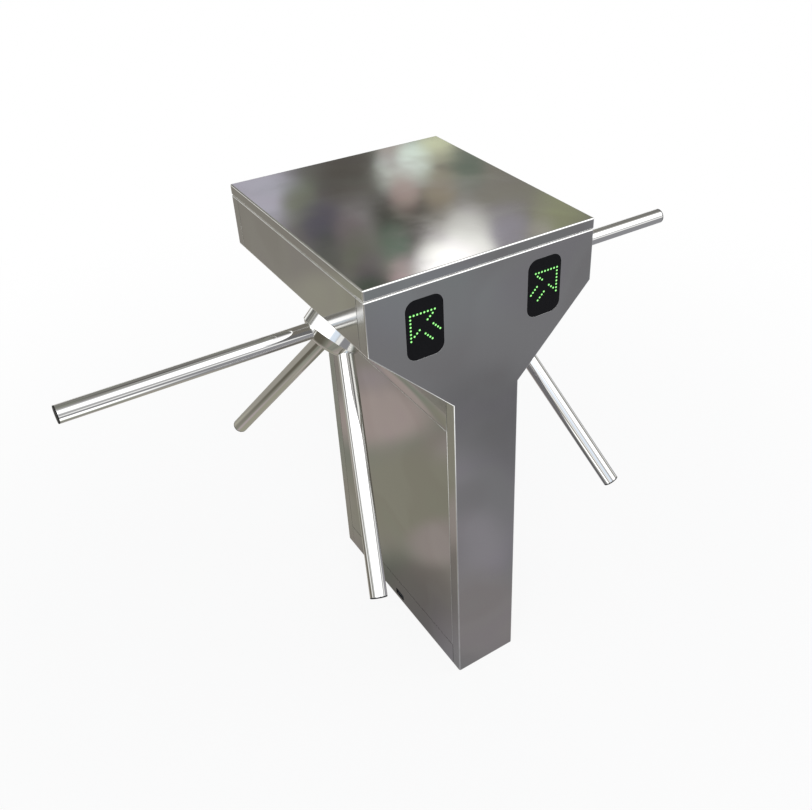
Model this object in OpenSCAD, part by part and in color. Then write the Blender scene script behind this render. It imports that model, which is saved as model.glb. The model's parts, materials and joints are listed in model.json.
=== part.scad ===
// Double tripod turnstile: a T-shaped stainless housing with a three-arm rotor on each side.
// Z is up and the floor is at Z = 0. The display panel faces -Y.
// Everything paired left and right is drawn once for the right side (+X) and mirrored.
// On each slope the parts are drawn in slope coordinates: +Z along the rotor axis, out of the housing,
// +X down the slope towards the column, and Y as in the housing.

/* [Housing] */
// Height from the floor to the top of the lid
total_h = 1050; // [1000:1:1100]
// Width of the head
head_w = 482; // [474:1:500]
// Depth of the housing, front to back
depth = 534; // [510:1:570]
// Width of the column
col_w = 148; // [144:1:156]
// Height of the head's upright sides, below the lid
head_side_h = 105; // [98:1:112]
// Angle of the sloping undersides from the horizontal
slope_deg = 45; // [44:0.5:46]
// Height of the lid
lid_h = 22; // [18:1:28]
// Thickness of the stainless sheet
sheet_t = 2; // [1.5:0.5:3]
// Width of the front and rear panels' folded edges, measured on the outside
flange_w = 27; // [24:1:30]
// Width of the seams between the sheets
seam_gap = 1.2; // [0.8:0.1:2]
// Gap between the closed lid and the housing
lid_gap = 0.5; // [0.3:0.1:0.8]
// Height of the plinth strips
plinth_h = 63; // [50:1:80]
// Distance from the foot of the slopes down to the top of the service doors
door_drop = 76; // [60:1:110]
// Width of the pull slot in each plinth strip
slot_w = 36; // [30:1:44]
// Height of the pull slot
slot_h = 17; // [14:1:20]
// Height of the middle of the pull slot above the floor
slot_z = 18; // [18:1:24]

/* [Frame and base] */
// Width of the inner frames, front to back
frame_w = 30; // [26:1:34]
// Thickness of the inner frames and rails
frame_t = 4; // [3:0.5:5]
// Height of the cross rails behind the door seams
rail_h = 30; // [24:1:36]
// Thickness of the base plate
base_t = 8; // [6:1:12]
// Distance between the anchor holes across the column
anchor_dx = 96; // [80:1:104]
// Distance between the anchor holes front to back
anchor_dy = 400; // [360:1:440]
// Diameter of the anchor holes
anchor_d = 14; // [10:0.5:16]
// Diameter of the cable entry in the base plate
cable_d = 50; // [40:1:60]

/* [Rotor] */
// Angle of each arm to the rotor axis
arm_deg = 45; // [43:1:46]
// Reach of each arm from the crossing point of the arm axes
arm_reach = 535; // [480:1:560]
// Outside diameter of the arm tube
arm_d = 33.2; // [30:0.2:36]
// Wall of the arm tube
arm_wall = 1.5; // [1.2:0.1:2.5]
// Diameter of the hub
hub_d = 124; // [118:1:130]
// Length of the round part of the hub
hub_len = 36; // [34:1:40]
// Length of the hub's tapered nose
nose_len = 26; // [24:1:28]
// Diameter of the rotor shaft
shaft_d = 30; // [28:0.5:32]
// Running clearance of shafts and pins, on the radius
run_gap = 0.05; // [0.02:0.01:0.09]

/* [Displays] */
// Width of a display window
display_w = 76; // [70:1:84]
// Height of a display window
display_h = 118; // [110:1:124]
// Corner radius of a display window
display_r = 20; // [12:1:26]
// Distance of a display's middle from the middle of the front
display_x = 128.5; // [120:0.5:135]
// Depth of a display's middle below the top of the housing
display_drop = 83.5; // [76:0.5:86]
// Spacing of the arrow's lamps
lamp_pitch = 7; // [6:0.1:7.4]
// Diameter of one lamp
lamp_d = 4.6; // [3.6:0.1:5]

/* [Mechanism] */
// Thickness of the mechanism plate
plate_t = 8; // [6:1:10]
// Outside diameter of a shaft bearing
bearing_d = 62; // [58:1:64]
// Width of a shaft bearing
bearing_w = 16; // [14:1:18]
// Length of the bearing housing behind the plate
housing_len = 76; // [72:1:80]
// Diameter of the index disc
disc_d = 116; // [112:1:120]
// Thickness of the index disc
disc_t = 8; // [7:0.5:10]
// Angle a pawl swings to lock the disc
pawl_deg = 8; // [7:0.5:8]
// Distance from a pawl's pivot to its nose, along the lever
nose_arm = 34; // [32:1:36]
// Distance from a pawl's pivot to its drive pin
pin_arm = 64; // [60:1:66]
// Diameter of a solenoid
solenoid_d = 30; // [26:1:32]
// Length of a solenoid
solenoid_len = 50; // [44:1:56]
// Gear module: pitch diameter over teeth
gear_module = 2; // [1.8:0.1:2.2]
// Face width of the gears
gear_w = 8; // [6:1:10]
// Diameter of the rotary damper
damper_d = 36; // [30:1:40]
// Length of the rotary damper
damper_len = 22; // [18:1:26]

/* [Lid hardware] */
// Length of one lid hinge
hinge_len = 60; // [50:1:80]
// Distance of the hinges from the middle of the lid
hinge_x = 160; // [130:1:180]
// Diameter of a hinge knuckle
knuckle_d = 8; // [7:0.5:10]
// Diameter of the hinge pin
pin_d = 4; // [3:0.5:5]
// Distance of the lid lock in front of the middle
lock_y = 150; // [120:1:180]
// Depth of the lid lock's middle below the top of the housing
lock_drop = 30; // [29:1:34]
// Diameter of the lock barrel
lock_d = 18; // [16:1:20]
// Length of the lock cam from its axis
cam_len = 24; // [22:1:25]

/* [Hidden] */
$fn = 64;

// Overrun of every cut past the face it opens
over = 1;
// Clearance of parts that are assembled together without turning
slip_gap = 0.1;
// Clearance between parts that pass each other
pass_gap = 0.5;

// Housing levels and edges
body_top = total_h - lid_h;
shoulder_z = body_top - head_side_h;
neck_z = shoulder_z - (head_w - col_w) / 2 * tan(slope_deg);
door_top = neck_z - door_drop;
slope_x = (head_w + col_w) / 4;
slope_z = (shoulder_z + neck_z) / 2;
slope_half = (head_w - col_w) / 4 / cos(slope_deg);
front_y = -depth / 2;
side_y = depth / 2 - flange_w - seam_gap / 2;
frame_in_y = depth / 2 - flange_w - frame_w / 2;
col_in_x = col_w / 2 - sheet_t;
head_in_x = head_w / 2 - sheet_t;

// Small named sizes of the housing
seat_w = 6;
lid_flange_w = 12;
door_tray_d = 15;
door_tray_inset = 21;
top_rail_x = 180;
top_rail_w = 25;
slot_r = 4;
steel_color = [0.72, 0.71, 0.68];
dark_steel = [0.42, 0.43, 0.45];

// Slope coordinates: inner faces, counted along the rotor axis
plate_z = -sheet_t - plate_t;
bearing_end_z = plate_z - housing_len;
bearing_inset = 4;
bearing_step = 4;
plate_top_inset = 18;
plate_foot_inset = 28;
plate_up = slope_half - plate_top_inset;
plate_down = slope_half - plate_foot_inset;
flange_rim = 24;
flange_r = bearing_d / 2 + flange_rim;
flange_t = 10;
housing_wall = 7;
flange_screw_out = 15;
flange_screw_r = bearing_d / 2 + flange_screw_out;
shaft_hole_gap = 3;
shaft_hole_r = shaft_d / 2 + shaft_hole_gap;
hub_gap = 1;
hub_bore_end = 45;
disc_boss_h = 6;
disc_gap = 2;
disc_z1 = bearing_end_z - disc_gap - disc_boss_h;
disc_z0 = disc_z1 - disc_t;
disc_boss_wall = 9;
disc_boss_r = shaft_d / 2 + disc_boss_wall;
gear_boss_h = 10;
gear_z1 = disc_z0 - gear_boss_h;
gear_z0 = gear_z1 - gear_w;
gear_boss_wall = 5;
gear_boss_r = shaft_d / 2 + gear_boss_wall;
shaft_tail = 4;
shaft_end_z = gear_z0 - shaft_tail;
shoulder_step = 3;
shoulder_r = shaft_d / 2 + shoulder_step;
screw_d = 8;
screw_head_r = 6.5;
screw_head_h = 8;
screw_in = 6;
flange_screws = 4;

// Hub and arms
hub_r = hub_d / 2;
nose_r = hub_r - nose_len;
// Distance from the crossing point to the middle of the nose's taper, along an arm
socket_l = (hub_len + nose_len / 2) * cos(arm_deg) + (hub_r - nose_len / 2) * sin(arm_deg);
socket_depth = 7;
arm_root_l = socket_l - socket_depth;
root_plug_len = 28;
spigot_d = 12;
spigot_len = 16;
plug_t = 2.5;
plug_in = 12;
hub_pocket_r = 54;
hub_pocket_in_r = 24;
hub_pocket_d = 18;
arm_turn = [180, 300, 60];

// Pawls and their drive
notches = 6;
notch_w = 14;
notch_spare = 2.3;
notch_depth = nose_arm * sin(pawl_deg) + notch_spare;
nose_clear = 0.8;
nose_w = 8;
lever_w = 12;
lever_t = 6;
pivot_boss_r = 11;
tail_boss_r = 7;
post_d = 10;
post_shoulder_r = 8;
pivot_x = -nose_arm;
pivot_out = 12;
pivot_y = disc_d / 2 + pivot_out;
pin_x = pivot_x + pin_arm;
lever_z0 = (disc_z0 + disc_z1) / 2 - lever_t / 2;
lever_z1 = lever_z0 + lever_t;
drive_pin_r = 3;
fork_gap = 0.3;
fork_t = 6;
fork_w = 18;
fork_len = 14;
fork_z1 = disc_z0 - 2 * pass_gap;
fork_z0 = fork_z1 - fork_t;
plunger_z = (fork_z0 + fork_z1) / 2;
plunger_d = 8;
slot_spare = 1;
clip_r = 8;
clip_t = 1.5;
bracket_t = 3;
bracket_out = 22;
bracket_y = pivot_y + bracket_out;
bracket_w = 32;
foot_len = 25;
plunger_in = 34;

// Rotor gear, damper pinion and damper
gear_teeth = 36;
pinion_teeth = 12;
gear_r = gear_module * gear_teeth / 2;
pinion_r = gear_module * pinion_teeth / 2;
gear_dist = gear_r + pinion_r;
damper_bracket_t = 6;
damper_bracket_w = 36;
damper_leg_out = 30;
damper_leg_x = -(gear_dist + damper_leg_out);
damper_plate_z1 = shaft_end_z - shaft_tail;
axle_d = 8;
axle_hole_r = 6;
axle_in = 14;
pressure_deg = 25;
addendum_share = 0.8;
dedendum_share = 1.05;
backlash = 0.25;

// Position sensor, a fork round the rim of the index disc
sensor_reach = 8;
sensor_prong = 3.5;
sensor_web = 6;
sensor_w = 16;
sensor_gap = 1.5;
sensor_leg_w = 24;
sensor_x = disc_d / 2 + pass_gap + sensor_web;

// Displays
display_z = body_top - display_drop;
window_lip = 4;
window_back_t = 3;
board_t = 1.6;
lamp_stand = 4;
lamp_hole_gap = 0.1;
lamp_back_y = front_y + sheet_t + window_back_t + lamp_stand;
// The arrow's corner lamp, from the middle of its window
arrow_x = -28.5;
arrow_y = 30.5;
head_lamps = 8;
// Starts and steps of the short lamp rows, counted in lamp pitches right and down from the corner
barb_lamps = 3;
barb_start_shares = [[6.35, 0.97], [0.98, 5.85]];
barb_step_shares = [[-0.755, 0.65], [0.76, -0.665]];
tail_lamps = 4;
tail_start_shares = [[6.46, 3.93], [4.11, 6.01]];
tail_step_shares = [[0.64, 0.667], [0.653, 0.683]];

// Lid hinge and lock
knuckle_gap = 0.3;
hinge_off = knuckle_d / 2 + knuckle_gap;
hinge_axis_y = depth / 2 + hinge_off;
hinge_axis_z = body_top + lid_gap / 2;
leaf_t = 2;
leaf_h = 28;
strap_h = 17;
knuckle_share = 1 / 3;
lock_z = body_top - lock_drop;
lock_len = 14;
lock_rim_step = 2;
lock_rim_r = lock_d / 2 + lock_rim_step;
lock_rim_t = 1.5;
plug_d = 11;
key_w = 1.2;
key_h = 7;
cam_t = 3;
cam_w = 12;
cam_x0 = head_w / 2 - lock_len;
keeper_t = 3;
keeper_w = 12;
keeper_gap = 1;
keeper_side_gap = 4.5;

// Equipment in the column, stacked down from the top of its plate
eq_t = 3;
eq_top_gap = 40;
eq_foot_gap = 10;
board_w = 104;
board_h = 150;
board_top_gap = 20;
psu_w = 90;
psu_d = 45;
psu_h = 150;
psu_top_gap = 12;
strip_h = 16;
strip_d = 20;
terminals = 6;
eq_z1 = door_top - eq_top_gap;
board_z0 = eq_z1 - board_top_gap - board_h;
psu_z0 = board_z0 - psu_top_gap - strip_h - psu_h;
eq_z0 = psu_z0 - eq_foot_gap;
standoff_d = 7;
standoff_h = 10;
relay_w = 20;
relay_h = 16;
loom_d = 12;
branch_d = 8;
loom_rise = 50;
// Radius of a cable tie at a bend, over the cable's own
tie_share = 1.25;

// Shared shapes

// The housing's T outline, drawn inwards by an inset, between two heights
function outline(inset, bottom, top) =
  let (c = col_w / 2 - inset, h = head_w / 2 - inset, lift = inset * tan((90 - slope_deg) / 2))
  [[c, bottom], [c, neck_z + lift], [h, shoulder_z + lift], [h, top],
   [-h, top], [-h, shoulder_z + lift], [-c, neck_z + lift], [-c, bottom]];

module tee(inset, bottom, top, y0, y1) {
  translate([0, y1, 0])
    rotate([90, 0, 0])
      linear_extrude(y1 - y0) polygon(outline(inset, bottom, top));
}

module block(low, high) {
  translate(low) cube(high - low);
}

module both_sides() {
  children();
  mirror([1, 0, 0]) children();
}

module left() {
  mirror([1, 0, 0]) children();
}

module front_and_rear() {
  children();
  mirror([0, 1, 0]) children();
}

module front_side() {
  mirror([0, 1, 0]) children();
}

module on_slope() {
  translate([slope_x, 0, slope_z]) rotate([0, 180 - slope_deg, 0]) children();
}

// The place in the housing of a point in the middle of the right slope
function slope_point(x, z) =
  [slope_x - x * cos(slope_deg) + z * sin(slope_deg), 0, slope_z - x * sin(slope_deg) - z * cos(slope_deg)];

module disc(r, z0, z1) {
  translate([0, 0, z0]) cylinder(r = r, h = z1 - z0);
}

module rounded(w, h, r) {
  square([w - 2 * r, h], center = true);
  square([w, h - 2 * r], center = true);
  for (x = [-1, 1], y = [-1, 1])
    translate([x * (w / 2 - r), y * (h / 2 - r)]) circle(r = r);
}

// A round rod from one point to another
module rod(from, to, r) {
  d = to - from;
  translate(from)
    rotate([0, acos(d[2] / norm(d)), atan2(d[1], d[0])])
      cylinder(r = r, h = norm(d));
}

// A cable along a list of points, with a round tie at each bend
module cable(points, d) {
  for (i = [0 : len(points) - 2]) {
    rod(points[i], points[i + 1], d / 2);
    if (i > 0) translate(points[i]) sphere(r = d / 2 * tie_share);
  }
}

// Base and frame

module base_plate() {
  color(dark_steel)
    difference() {
      block([-col_in_x, front_y + sheet_t, 0], [col_in_x, -front_y - sheet_t, base_t]);
      for (x = [-1, 1], y = [-1, 1])
        translate([x * anchor_dx / 2, y * anchor_dy / 2, 0]) disc(anchor_d / 2, -over, base_t + over);
      disc(cable_d / 2, -over, base_t + over);
    }
}

module inner_frame() {
  difference() {
    tee(sheet_t, base_t, body_top - sheet_t, -frame_in_y - frame_w, -frame_in_y);
    tee(sheet_t + frame_t, base_t - over, body_top - sheet_t - frame_t,
        -frame_in_y - frame_w - over, -frame_in_y + over);
  }
}

module front_frame() {
  color(dark_steel) inner_frame();
}

module rear_frame() {
  color(dark_steel) mirror([0, 1, 0]) inner_frame();
}

module cross_rails() {
  color(dark_steel)
    both_sides() {
      for (z = [plinth_h, door_top])
        block([col_in_x - frame_t, -frame_in_y, z - rail_h / 2],
              [col_in_x, frame_in_y, z + rail_h / 2]);
      block([top_rail_x, -frame_in_y, body_top - sheet_t - frame_t],
            [top_rail_x + top_rail_w, frame_in_y, body_top - sheet_t]);
    }
}

// Outer sheets

module folded_panel() {
  difference() {
    tee(0, 0, body_top, front_y, -side_y - seam_gap);
    tee(sheet_t, -over, body_top - sheet_t, front_y + sheet_t, -side_y);
  }
}

module window_cut(extra, y0, y1) {
  for (x = [-1, 1])
    translate([x * display_x, y1, display_z])
      rotate([90, 0, 0])
        linear_extrude(y1 - y0)
          rounded(display_w + 2 * extra, display_h + 2 * extra, display_r + extra);
}

module front_panel() {
  color(steel_color)
    difference() {
      folded_panel();
      window_cut(0, front_y - over, front_y + sheet_t + over);
    }
}

module rear_panel() {
  color(steel_color) mirror([0, 1, 0]) folded_panel();
}

module side_sheet() {
  difference() {
    tee(0, door_top + seam_gap / 2, body_top, -side_y, side_y);
    tee(sheet_t, door_top, body_top - sheet_t, -side_y - over, side_y + over);
    block([-head_w, -side_y - over, 0], [0, side_y + over, total_h]);
    block([-over, -side_y - over, body_top - sheet_t - over],
          [head_in_x - seat_w, side_y + over, body_top + over]);
    on_slope() disc(shaft_hole_r, -sheet_t - over, over);
  }
}

module left_side_sheet() {
  color(steel_color) left() side_sheet();
}

module right_side_sheet() {
  color(steel_color)
    difference() {
      side_sheet();
      translate([head_in_x - over, -lock_y, lock_z])
        rotate([0, 90, 0])
          cylinder(r = lock_d / 2 + slip_gap, h = sheet_t + 2 * over);
    }
}

module plinth_strips() {
  color(steel_color)
    both_sides()
      difference() {
        block([col_in_x, -side_y, 0], [col_w / 2, side_y, plinth_h - seam_gap / 2]);
        translate([col_in_x - over, 0, slot_z])
          rotate([90, 0, 90])
            linear_extrude(sheet_t + 2 * over) rounded(slot_w, slot_h, slot_r);
      }
}

// A lift-off service door: the outer sheet with a folded tray welded behind it
module door() {
  low = plinth_h + seam_gap / 2;
  high = door_top - seam_gap / 2;
  tray_y = side_y - door_tray_inset;
  block([col_in_x, -side_y, low], [col_w / 2, side_y, high]);
  difference() {
    block([col_in_x - door_tray_d, -tray_y, low + door_tray_inset],
          [col_in_x, tray_y, high - door_tray_inset]);
    block([col_in_x - door_tray_d - over, -tray_y + sheet_t, low + door_tray_inset + sheet_t],
          [col_in_x + over, tray_y - sheet_t, high - door_tray_inset - sheet_t]);
  }
}

module left_door() {
  color(steel_color) left() door();
}

module right_door() {
  color(steel_color) door();
}

// Displays

module lamp_row(count, start, step) {
  for (i = [0 : count - 1])
    translate([start[0] + i * step[0], -(start[1] + i * step[1]), 0] * lamp_pitch) children();
}

// Places a child at each lamp of the arrow, which points to the upper left
module at_lamps() {
  translate([arrow_x, arrow_y, 0]) {
    lamp_row(head_lamps, [0, 0], [1, 0]) children();
    lamp_row(head_lamps - 1, [0, 1], [0, 1]) children();
    for (k = [0, 1]) {
      lamp_row(barb_lamps, barb_start_shares[k], barb_step_shares[k]) children();
      lamp_row(tail_lamps, tail_start_shares[k], tail_step_shares[k]) children();
    }
  }
}

// Round pieces at every lamp of both displays, between two depths
module lamp_rods(r, y0, y1) {
  both_sides()
    translate([-display_x, y1, display_z])
      rotate([90, 0, 0])
        at_lamps() cylinder(r = r, h = y1 - y0);
}

module display_windows() {
  back_y = front_y + sheet_t + window_back_t;
  color("black")
    difference() {
      union() {
        window_cut(-slip_gap, front_y, back_y);
        window_cut(window_lip, front_y + sheet_t, back_y);
      }
      lamp_rods(lamp_d / 2 + lamp_hole_gap, front_y - over, back_y + over);
    }
}

module arrow_lamps() {
  color("lime") lamp_rods(lamp_d / 2, front_y, lamp_back_y);
}

module lamp_boards() {
  color("darkgreen") window_cut(0, lamp_back_y, lamp_back_y + board_t);
}

// Mechanism on each slope

module plate() {
  difference() {
    block([-plate_up, -frame_in_y, plate_z], [plate_down, frame_in_y, -sheet_t]);
    disc(shaft_hole_r, plate_z - over, 0);
    at_flange_screws() disc(screw_d / 2 + slip_gap, plate_z - over, plate_z + screw_in + slip_gap);
  }
}

module mechanism_plates() {
  color("silver") both_sides() on_slope() plate();
}

module bearing_housing() {
  difference() {
    union() {
      disc(flange_r, plate_z - flange_t, plate_z);
      disc(bearing_d / 2 + housing_wall, bearing_end_z, plate_z);
    }
    disc(bearing_d / 2 - bearing_step, bearing_end_z - over, plate_z + over);
    disc(bearing_d / 2, plate_z - bearing_inset - bearing_w, plate_z + over);
    disc(bearing_d / 2, bearing_end_z - over, bearing_end_z + bearing_inset + bearing_w);
    at_flange_screws() disc(screw_d / 2 + slip_gap, plate_z - flange_t - over, plate_z + over);
  }
}

module bearing_housings() {
  color("gray") both_sides() on_slope() bearing_housing();
}

module bearing(z0) {
  difference() {
    disc(bearing_d / 2 - run_gap, z0, z0 + bearing_w);
    disc(shaft_d / 2 + run_gap, z0 - over, z0 + bearing_w + over);
  }
}

module shaft_bearings() {
  color("gainsboro")
    both_sides()
      on_slope() {
        bearing(plate_z - bearing_inset - bearing_w);
        bearing(bearing_end_z + bearing_inset);
      }
}

module at_flange_screws() {
  for (i = [0 : flange_screws - 1])
    rotate([0, 0, 360 / flange_screws * (i + 1 / 2)]) translate([flange_screw_r, 0, 0]) children();
}

module mechanism_screws() {
  head_z = plate_z - flange_t;
  color("dimgray")
    both_sides()
      on_slope()
        at_flange_screws() {
          disc(screw_d / 2, head_z - over, plate_z + screw_in);
          difference() {
            disc(screw_head_r, head_z - screw_head_h, head_z);
            disc(screw_d / 4, head_z - screw_head_h - over, head_z - screw_head_h / 2);
          }
        }
}

module shaft() {
  disc(shaft_d / 2, shaft_end_z, hub_bore_end - slip_gap);
  disc(shoulder_r, bearing_end_z + bearing_inset + bearing_w, plate_z - bearing_inset - bearing_w);
}

module left_shaft() {
  color("silver") left() on_slope() shaft();
}

module right_shaft() {
  color("silver") on_slope() shaft();
}

// Puts a child on an arm's axis, with +Z pointing out along the arm
module along_arm(i) {
  rotate([0, 0, arm_turn[i]]) rotate([0, arm_deg, 0]) children();
}

module hub() {
  difference() {
    union() {
      disc(hub_r, hub_gap, hub_len);
      translate([0, 0, hub_len]) cylinder(r1 = hub_r, r2 = nose_r, h = nose_len);
    }
    disc(shaft_d / 2 + slip_gap, -over, hub_bore_end);
    difference() {
      disc(hub_pocket_r, -over, hub_gap + hub_pocket_d);
      disc(hub_pocket_in_r, -2 * over, hub_gap + hub_pocket_d + over);
    }
    for (i = [0 : 2])
      along_arm(i) {
        disc(arm_d / 2 + slip_gap, arm_root_l - slip_gap, arm_root_l + arm_d);
        disc(spigot_d / 2 + slip_gap, arm_root_l - spigot_len - slip_gap, arm_root_l + over);
      }
  }
}

module left_hub() {
  color(steel_color) left() on_slope() hub();
}

module right_hub() {
  color(steel_color) on_slope() hub();
}

// A tube with a solid root plug and the spigot that screws into the hub
module arm(i) {
  on_slope()
    along_arm(i) {
      difference() {
        disc(arm_d / 2, arm_root_l, arm_reach - plug_t);
        disc(arm_d / 2 - arm_wall, arm_root_l + root_plug_len, arm_reach + over);
      }
      disc(spigot_d / 2, arm_root_l - spigot_len, arm_root_l + over);
    }
}

module left_arm_side() {
  color("gainsboro") left() arm(0);
}

module left_arm_front() {
  color("gainsboro") left() arm(1);
}

module left_arm_rear() {
  color("gainsboro") left() arm(2);
}

module right_arm_side() {
  color("gainsboro") arm(0);
}

module right_arm_front() {
  color("gainsboro") arm(1);
}

module right_arm_rear() {
  color("gainsboro") arm(2);
}

module arm_plugs() {
  on_slope()
    for (i = [0 : 2])
      along_arm(i) {
        disc(arm_d / 2, arm_reach - plug_t, arm_reach);
        disc(arm_d / 2 - arm_wall - slip_gap, arm_reach - plug_t - plug_in, arm_reach - plug_t / 2);
      }
}

module left_arm_plugs() {
  color([0.08, 0.08, 0.08]) left() arm_plugs();
}

module right_arm_plugs() {
  color([0.08, 0.08, 0.08]) arm_plugs();
}

// Index disc with a notch every 60 degrees, two of them at the pawls
module index_disc() {
  difference() {
    union() {
      disc(disc_d / 2, disc_z0, disc_z1);
      disc(disc_boss_r, disc_z0, disc_z1 + disc_boss_h);
    }
    disc(shaft_d / 2 + slip_gap, disc_z0 - over, disc_z1 + disc_boss_h + over);
    for (i = [0 : notches - 1])
      rotate([0, 0, 90 + 360 / notches * i])
        block([disc_d / 2 - notch_depth, -notch_w / 2, disc_z0 - over],
              [disc_d / 2 + over, notch_w / 2, disc_z1 + over]);
  }
}

module left_index_disc() {
  color("silver") left() on_slope() index_disc();
}

module right_index_disc() {
  color("silver") on_slope() index_disc();
}

// Involute spur gears

// Involute of an angle, in degrees
function inv(a) = tan(a) * 180 / PI - a;

// Half the angle of a tooth at a radius
function tooth_half(teeth, r) =
  let (rp = gear_module * teeth / 2, rb = rp * cos(pressure_deg), rr = max(r, rb))
  90 / teeth - backlash / rp * 90 / PI + inv(pressure_deg) - inv(acos(rb / rr));

function gear_outline(teeth) =
  let (rp = gear_module * teeth / 2,
       radii = [rp - dedendum_share * gear_module, rp - addendum_share * gear_module / 2,
                rp + addendum_share * gear_module / 4, rp + addendum_share * gear_module])
  [for (i = [0 : teeth - 1], side = [-1, 1], j = [0 : 3])
    let (r = radii[side < 0 ? j : 3 - j], a = 360 / teeth * i + side * tooth_half(teeth, r))
    r * [cos(a), sin(a)]];

module rotor_gear() {
  difference() {
    union() {
      translate([0, 0, gear_z0]) linear_extrude(gear_w) polygon(gear_outline(gear_teeth));
      disc(gear_boss_r, gear_z0, disc_z0);
    }
    disc(shaft_d / 2 + slip_gap, gear_z0 - over, disc_z0 + over);
  }
}

module left_rotor_gear() {
  color("goldenrod") left() on_slope() rotor_gear();
}

module right_rotor_gear() {
  color("goldenrod") on_slope() rotor_gear();
}

// Damper pinion on its axle, with a tooth gap facing the rotor gear
module damper_pinion() {
  translate([-gear_dist, 0, 0]) {
    translate([0, 0, gear_z0])
      linear_extrude(gear_w)
        rotate([0, 0, 180 / pinion_teeth]) polygon(gear_outline(pinion_teeth));
    disc(axle_d / 2, damper_plate_z1 - damper_bracket_t - axle_in, gear_z0);
  }
}

module left_damper_pinion() {
  color("goldenrod") left() on_slope() damper_pinion();
}

module right_damper_pinion() {
  color("goldenrod") on_slope() damper_pinion();
}

module rotary_dampers() {
  z1 = damper_plate_z1 - damper_bracket_t;
  color("dimgray")
    both_sides()
      on_slope()
        translate([-gear_dist, 0, 0])
          difference() {
            union() {
              disc(damper_d / 2, z1 - damper_len, z1);
              disc(damper_d / 4, z1 - damper_len - clip_t, z1 - damper_len);
            }
            disc(axle_d / 2 + run_gap, z1 - axle_in - pass_gap, z1 + over);
          }
}

module damper_brackets() {
  w = damper_bracket_w / 2;
  z1 = damper_plate_z1;
  color("silver")
    both_sides()
      on_slope()
        difference() {
          union() {
            block([damper_leg_x, -w, z1 - damper_bracket_t],
                  [damper_leg_x + damper_bracket_t, w, plate_z]);
            block([damper_leg_x, -w, z1 - damper_bracket_t], [-gear_dist + w, w, z1]);
            block([damper_leg_x - foot_len / 2, -w, plate_z - damper_bracket_t / 2],
                  [damper_leg_x + damper_bracket_t, w, plate_z]);
          }
          translate([-gear_dist, 0, 0]) disc(axle_hole_r, z1 - damper_bracket_t - over, z1 + over);
        }
}

// Forked optical sensor that straddles the rim of the index disc
module position_sensors() {
  rim = disc_d / 2;
  in_x = rim - sensor_reach;
  web_x = rim + pass_gap;
  low = disc_z0 - sensor_gap;
  high = disc_z1 + sensor_gap;
  color([0.15, 0.15, 0.17])
    both_sides()
      on_slope() {
        difference() {
          block([in_x, -sensor_w / 2, low - sensor_prong], [sensor_x, sensor_w / 2, high + sensor_prong]);
          block([in_x - over, -sensor_w / 2 - over, low], [web_x, sensor_w / 2 + over, high]);
        }
        block([sensor_x, -sensor_leg_w / 2, low - sensor_prong],
              [sensor_x + bracket_t, sensor_leg_w / 2, plate_z]);
      }
}

// Pawls, their posts, plungers and solenoids

module pawl_post() {
  translate([pivot_x, pivot_y, 0]) {
    disc(post_shoulder_r, lever_z1 + fork_gap, plate_z);
    disc(post_d / 2, lever_z0 - fork_gap - clip_t - pass_gap, lever_z1 + fork_gap + over);
    disc(clip_r, lever_z0 - fork_gap - clip_t, lever_z0 - fork_gap);
  }
}

module pawl_posts() {
  color("silver") both_sides() on_slope() front_and_rear() pawl_post();
}

module pawl() {
  translate([0, 0, lever_z0])
    linear_extrude(lever_t)
      difference() {
        union() {
          translate([pivot_x, pivot_y]) circle(r = pivot_boss_r);
          translate([pivot_x, pivot_y - lever_w / 2]) square([pin_arm, lever_w]);
          translate([pin_x, pivot_y]) circle(r = tail_boss_r);
          translate([-nose_w / 2, disc_d / 2 + nose_clear]) square([nose_w, lever_w]);
        }
        translate([pivot_x, pivot_y]) circle(r = post_d / 2 + run_gap);
      }
  translate([pin_x, pivot_y, 0]) disc(drive_pin_r, fork_z0, lever_z0 + over);
}

module left_front_pawl() {
  color("darkorange") left() on_slope() front_side() pawl();
}

module left_rear_pawl() {
  color("darkorange") left() on_slope() pawl();
}

module right_front_pawl() {
  color("darkorange") on_slope() front_side() pawl();
}

module right_rear_pawl() {
  color("darkorange") on_slope() pawl();
}

// Plunger with a slotted fork plate round the pawl's drive pin
module plunger() {
  half = drive_pin_r + fork_gap;
  difference() {
    block([pin_x - fork_w / 2, pivot_y - fork_len / 2, fork_z0],
          [pin_x + fork_w / 2, pivot_y + fork_len / 2, fork_z1]);
    block([pin_x - half - slot_spare, pivot_y - half, fork_z0 - over],
          [pin_x + half + slot_spare, pivot_y + half, fork_z1 + over]);
  }
  root_y = pivot_y + fork_len / 2 - over;
  translate([pin_x, root_y, plunger_z])
    rotate([-90, 0, 0]) cylinder(r = plunger_d / 2, h = bracket_y + plunger_in - root_y);
}

module left_front_plunger() {
  color("white") left() on_slope() front_side() plunger();
}

module left_rear_plunger() {
  color("white") left() on_slope() plunger();
}

module right_front_plunger() {
  color("white") on_slope() front_side() plunger();
}

module right_rear_plunger() {
  color("white") on_slope() plunger();
}

module solenoid() {
  translate([pin_x, bracket_y, plunger_z])
    rotate([-90, 0, 0])
      difference() {
        disc(solenoid_d / 2, 0, solenoid_len);
        disc(plunger_d / 2 + run_gap, -over, solenoid_len - bracket_t);
      }
}

module solenoids() {
  color([0.2, 0.22, 0.3]) both_sides() on_slope() front_and_rear() solenoid();
}

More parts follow.
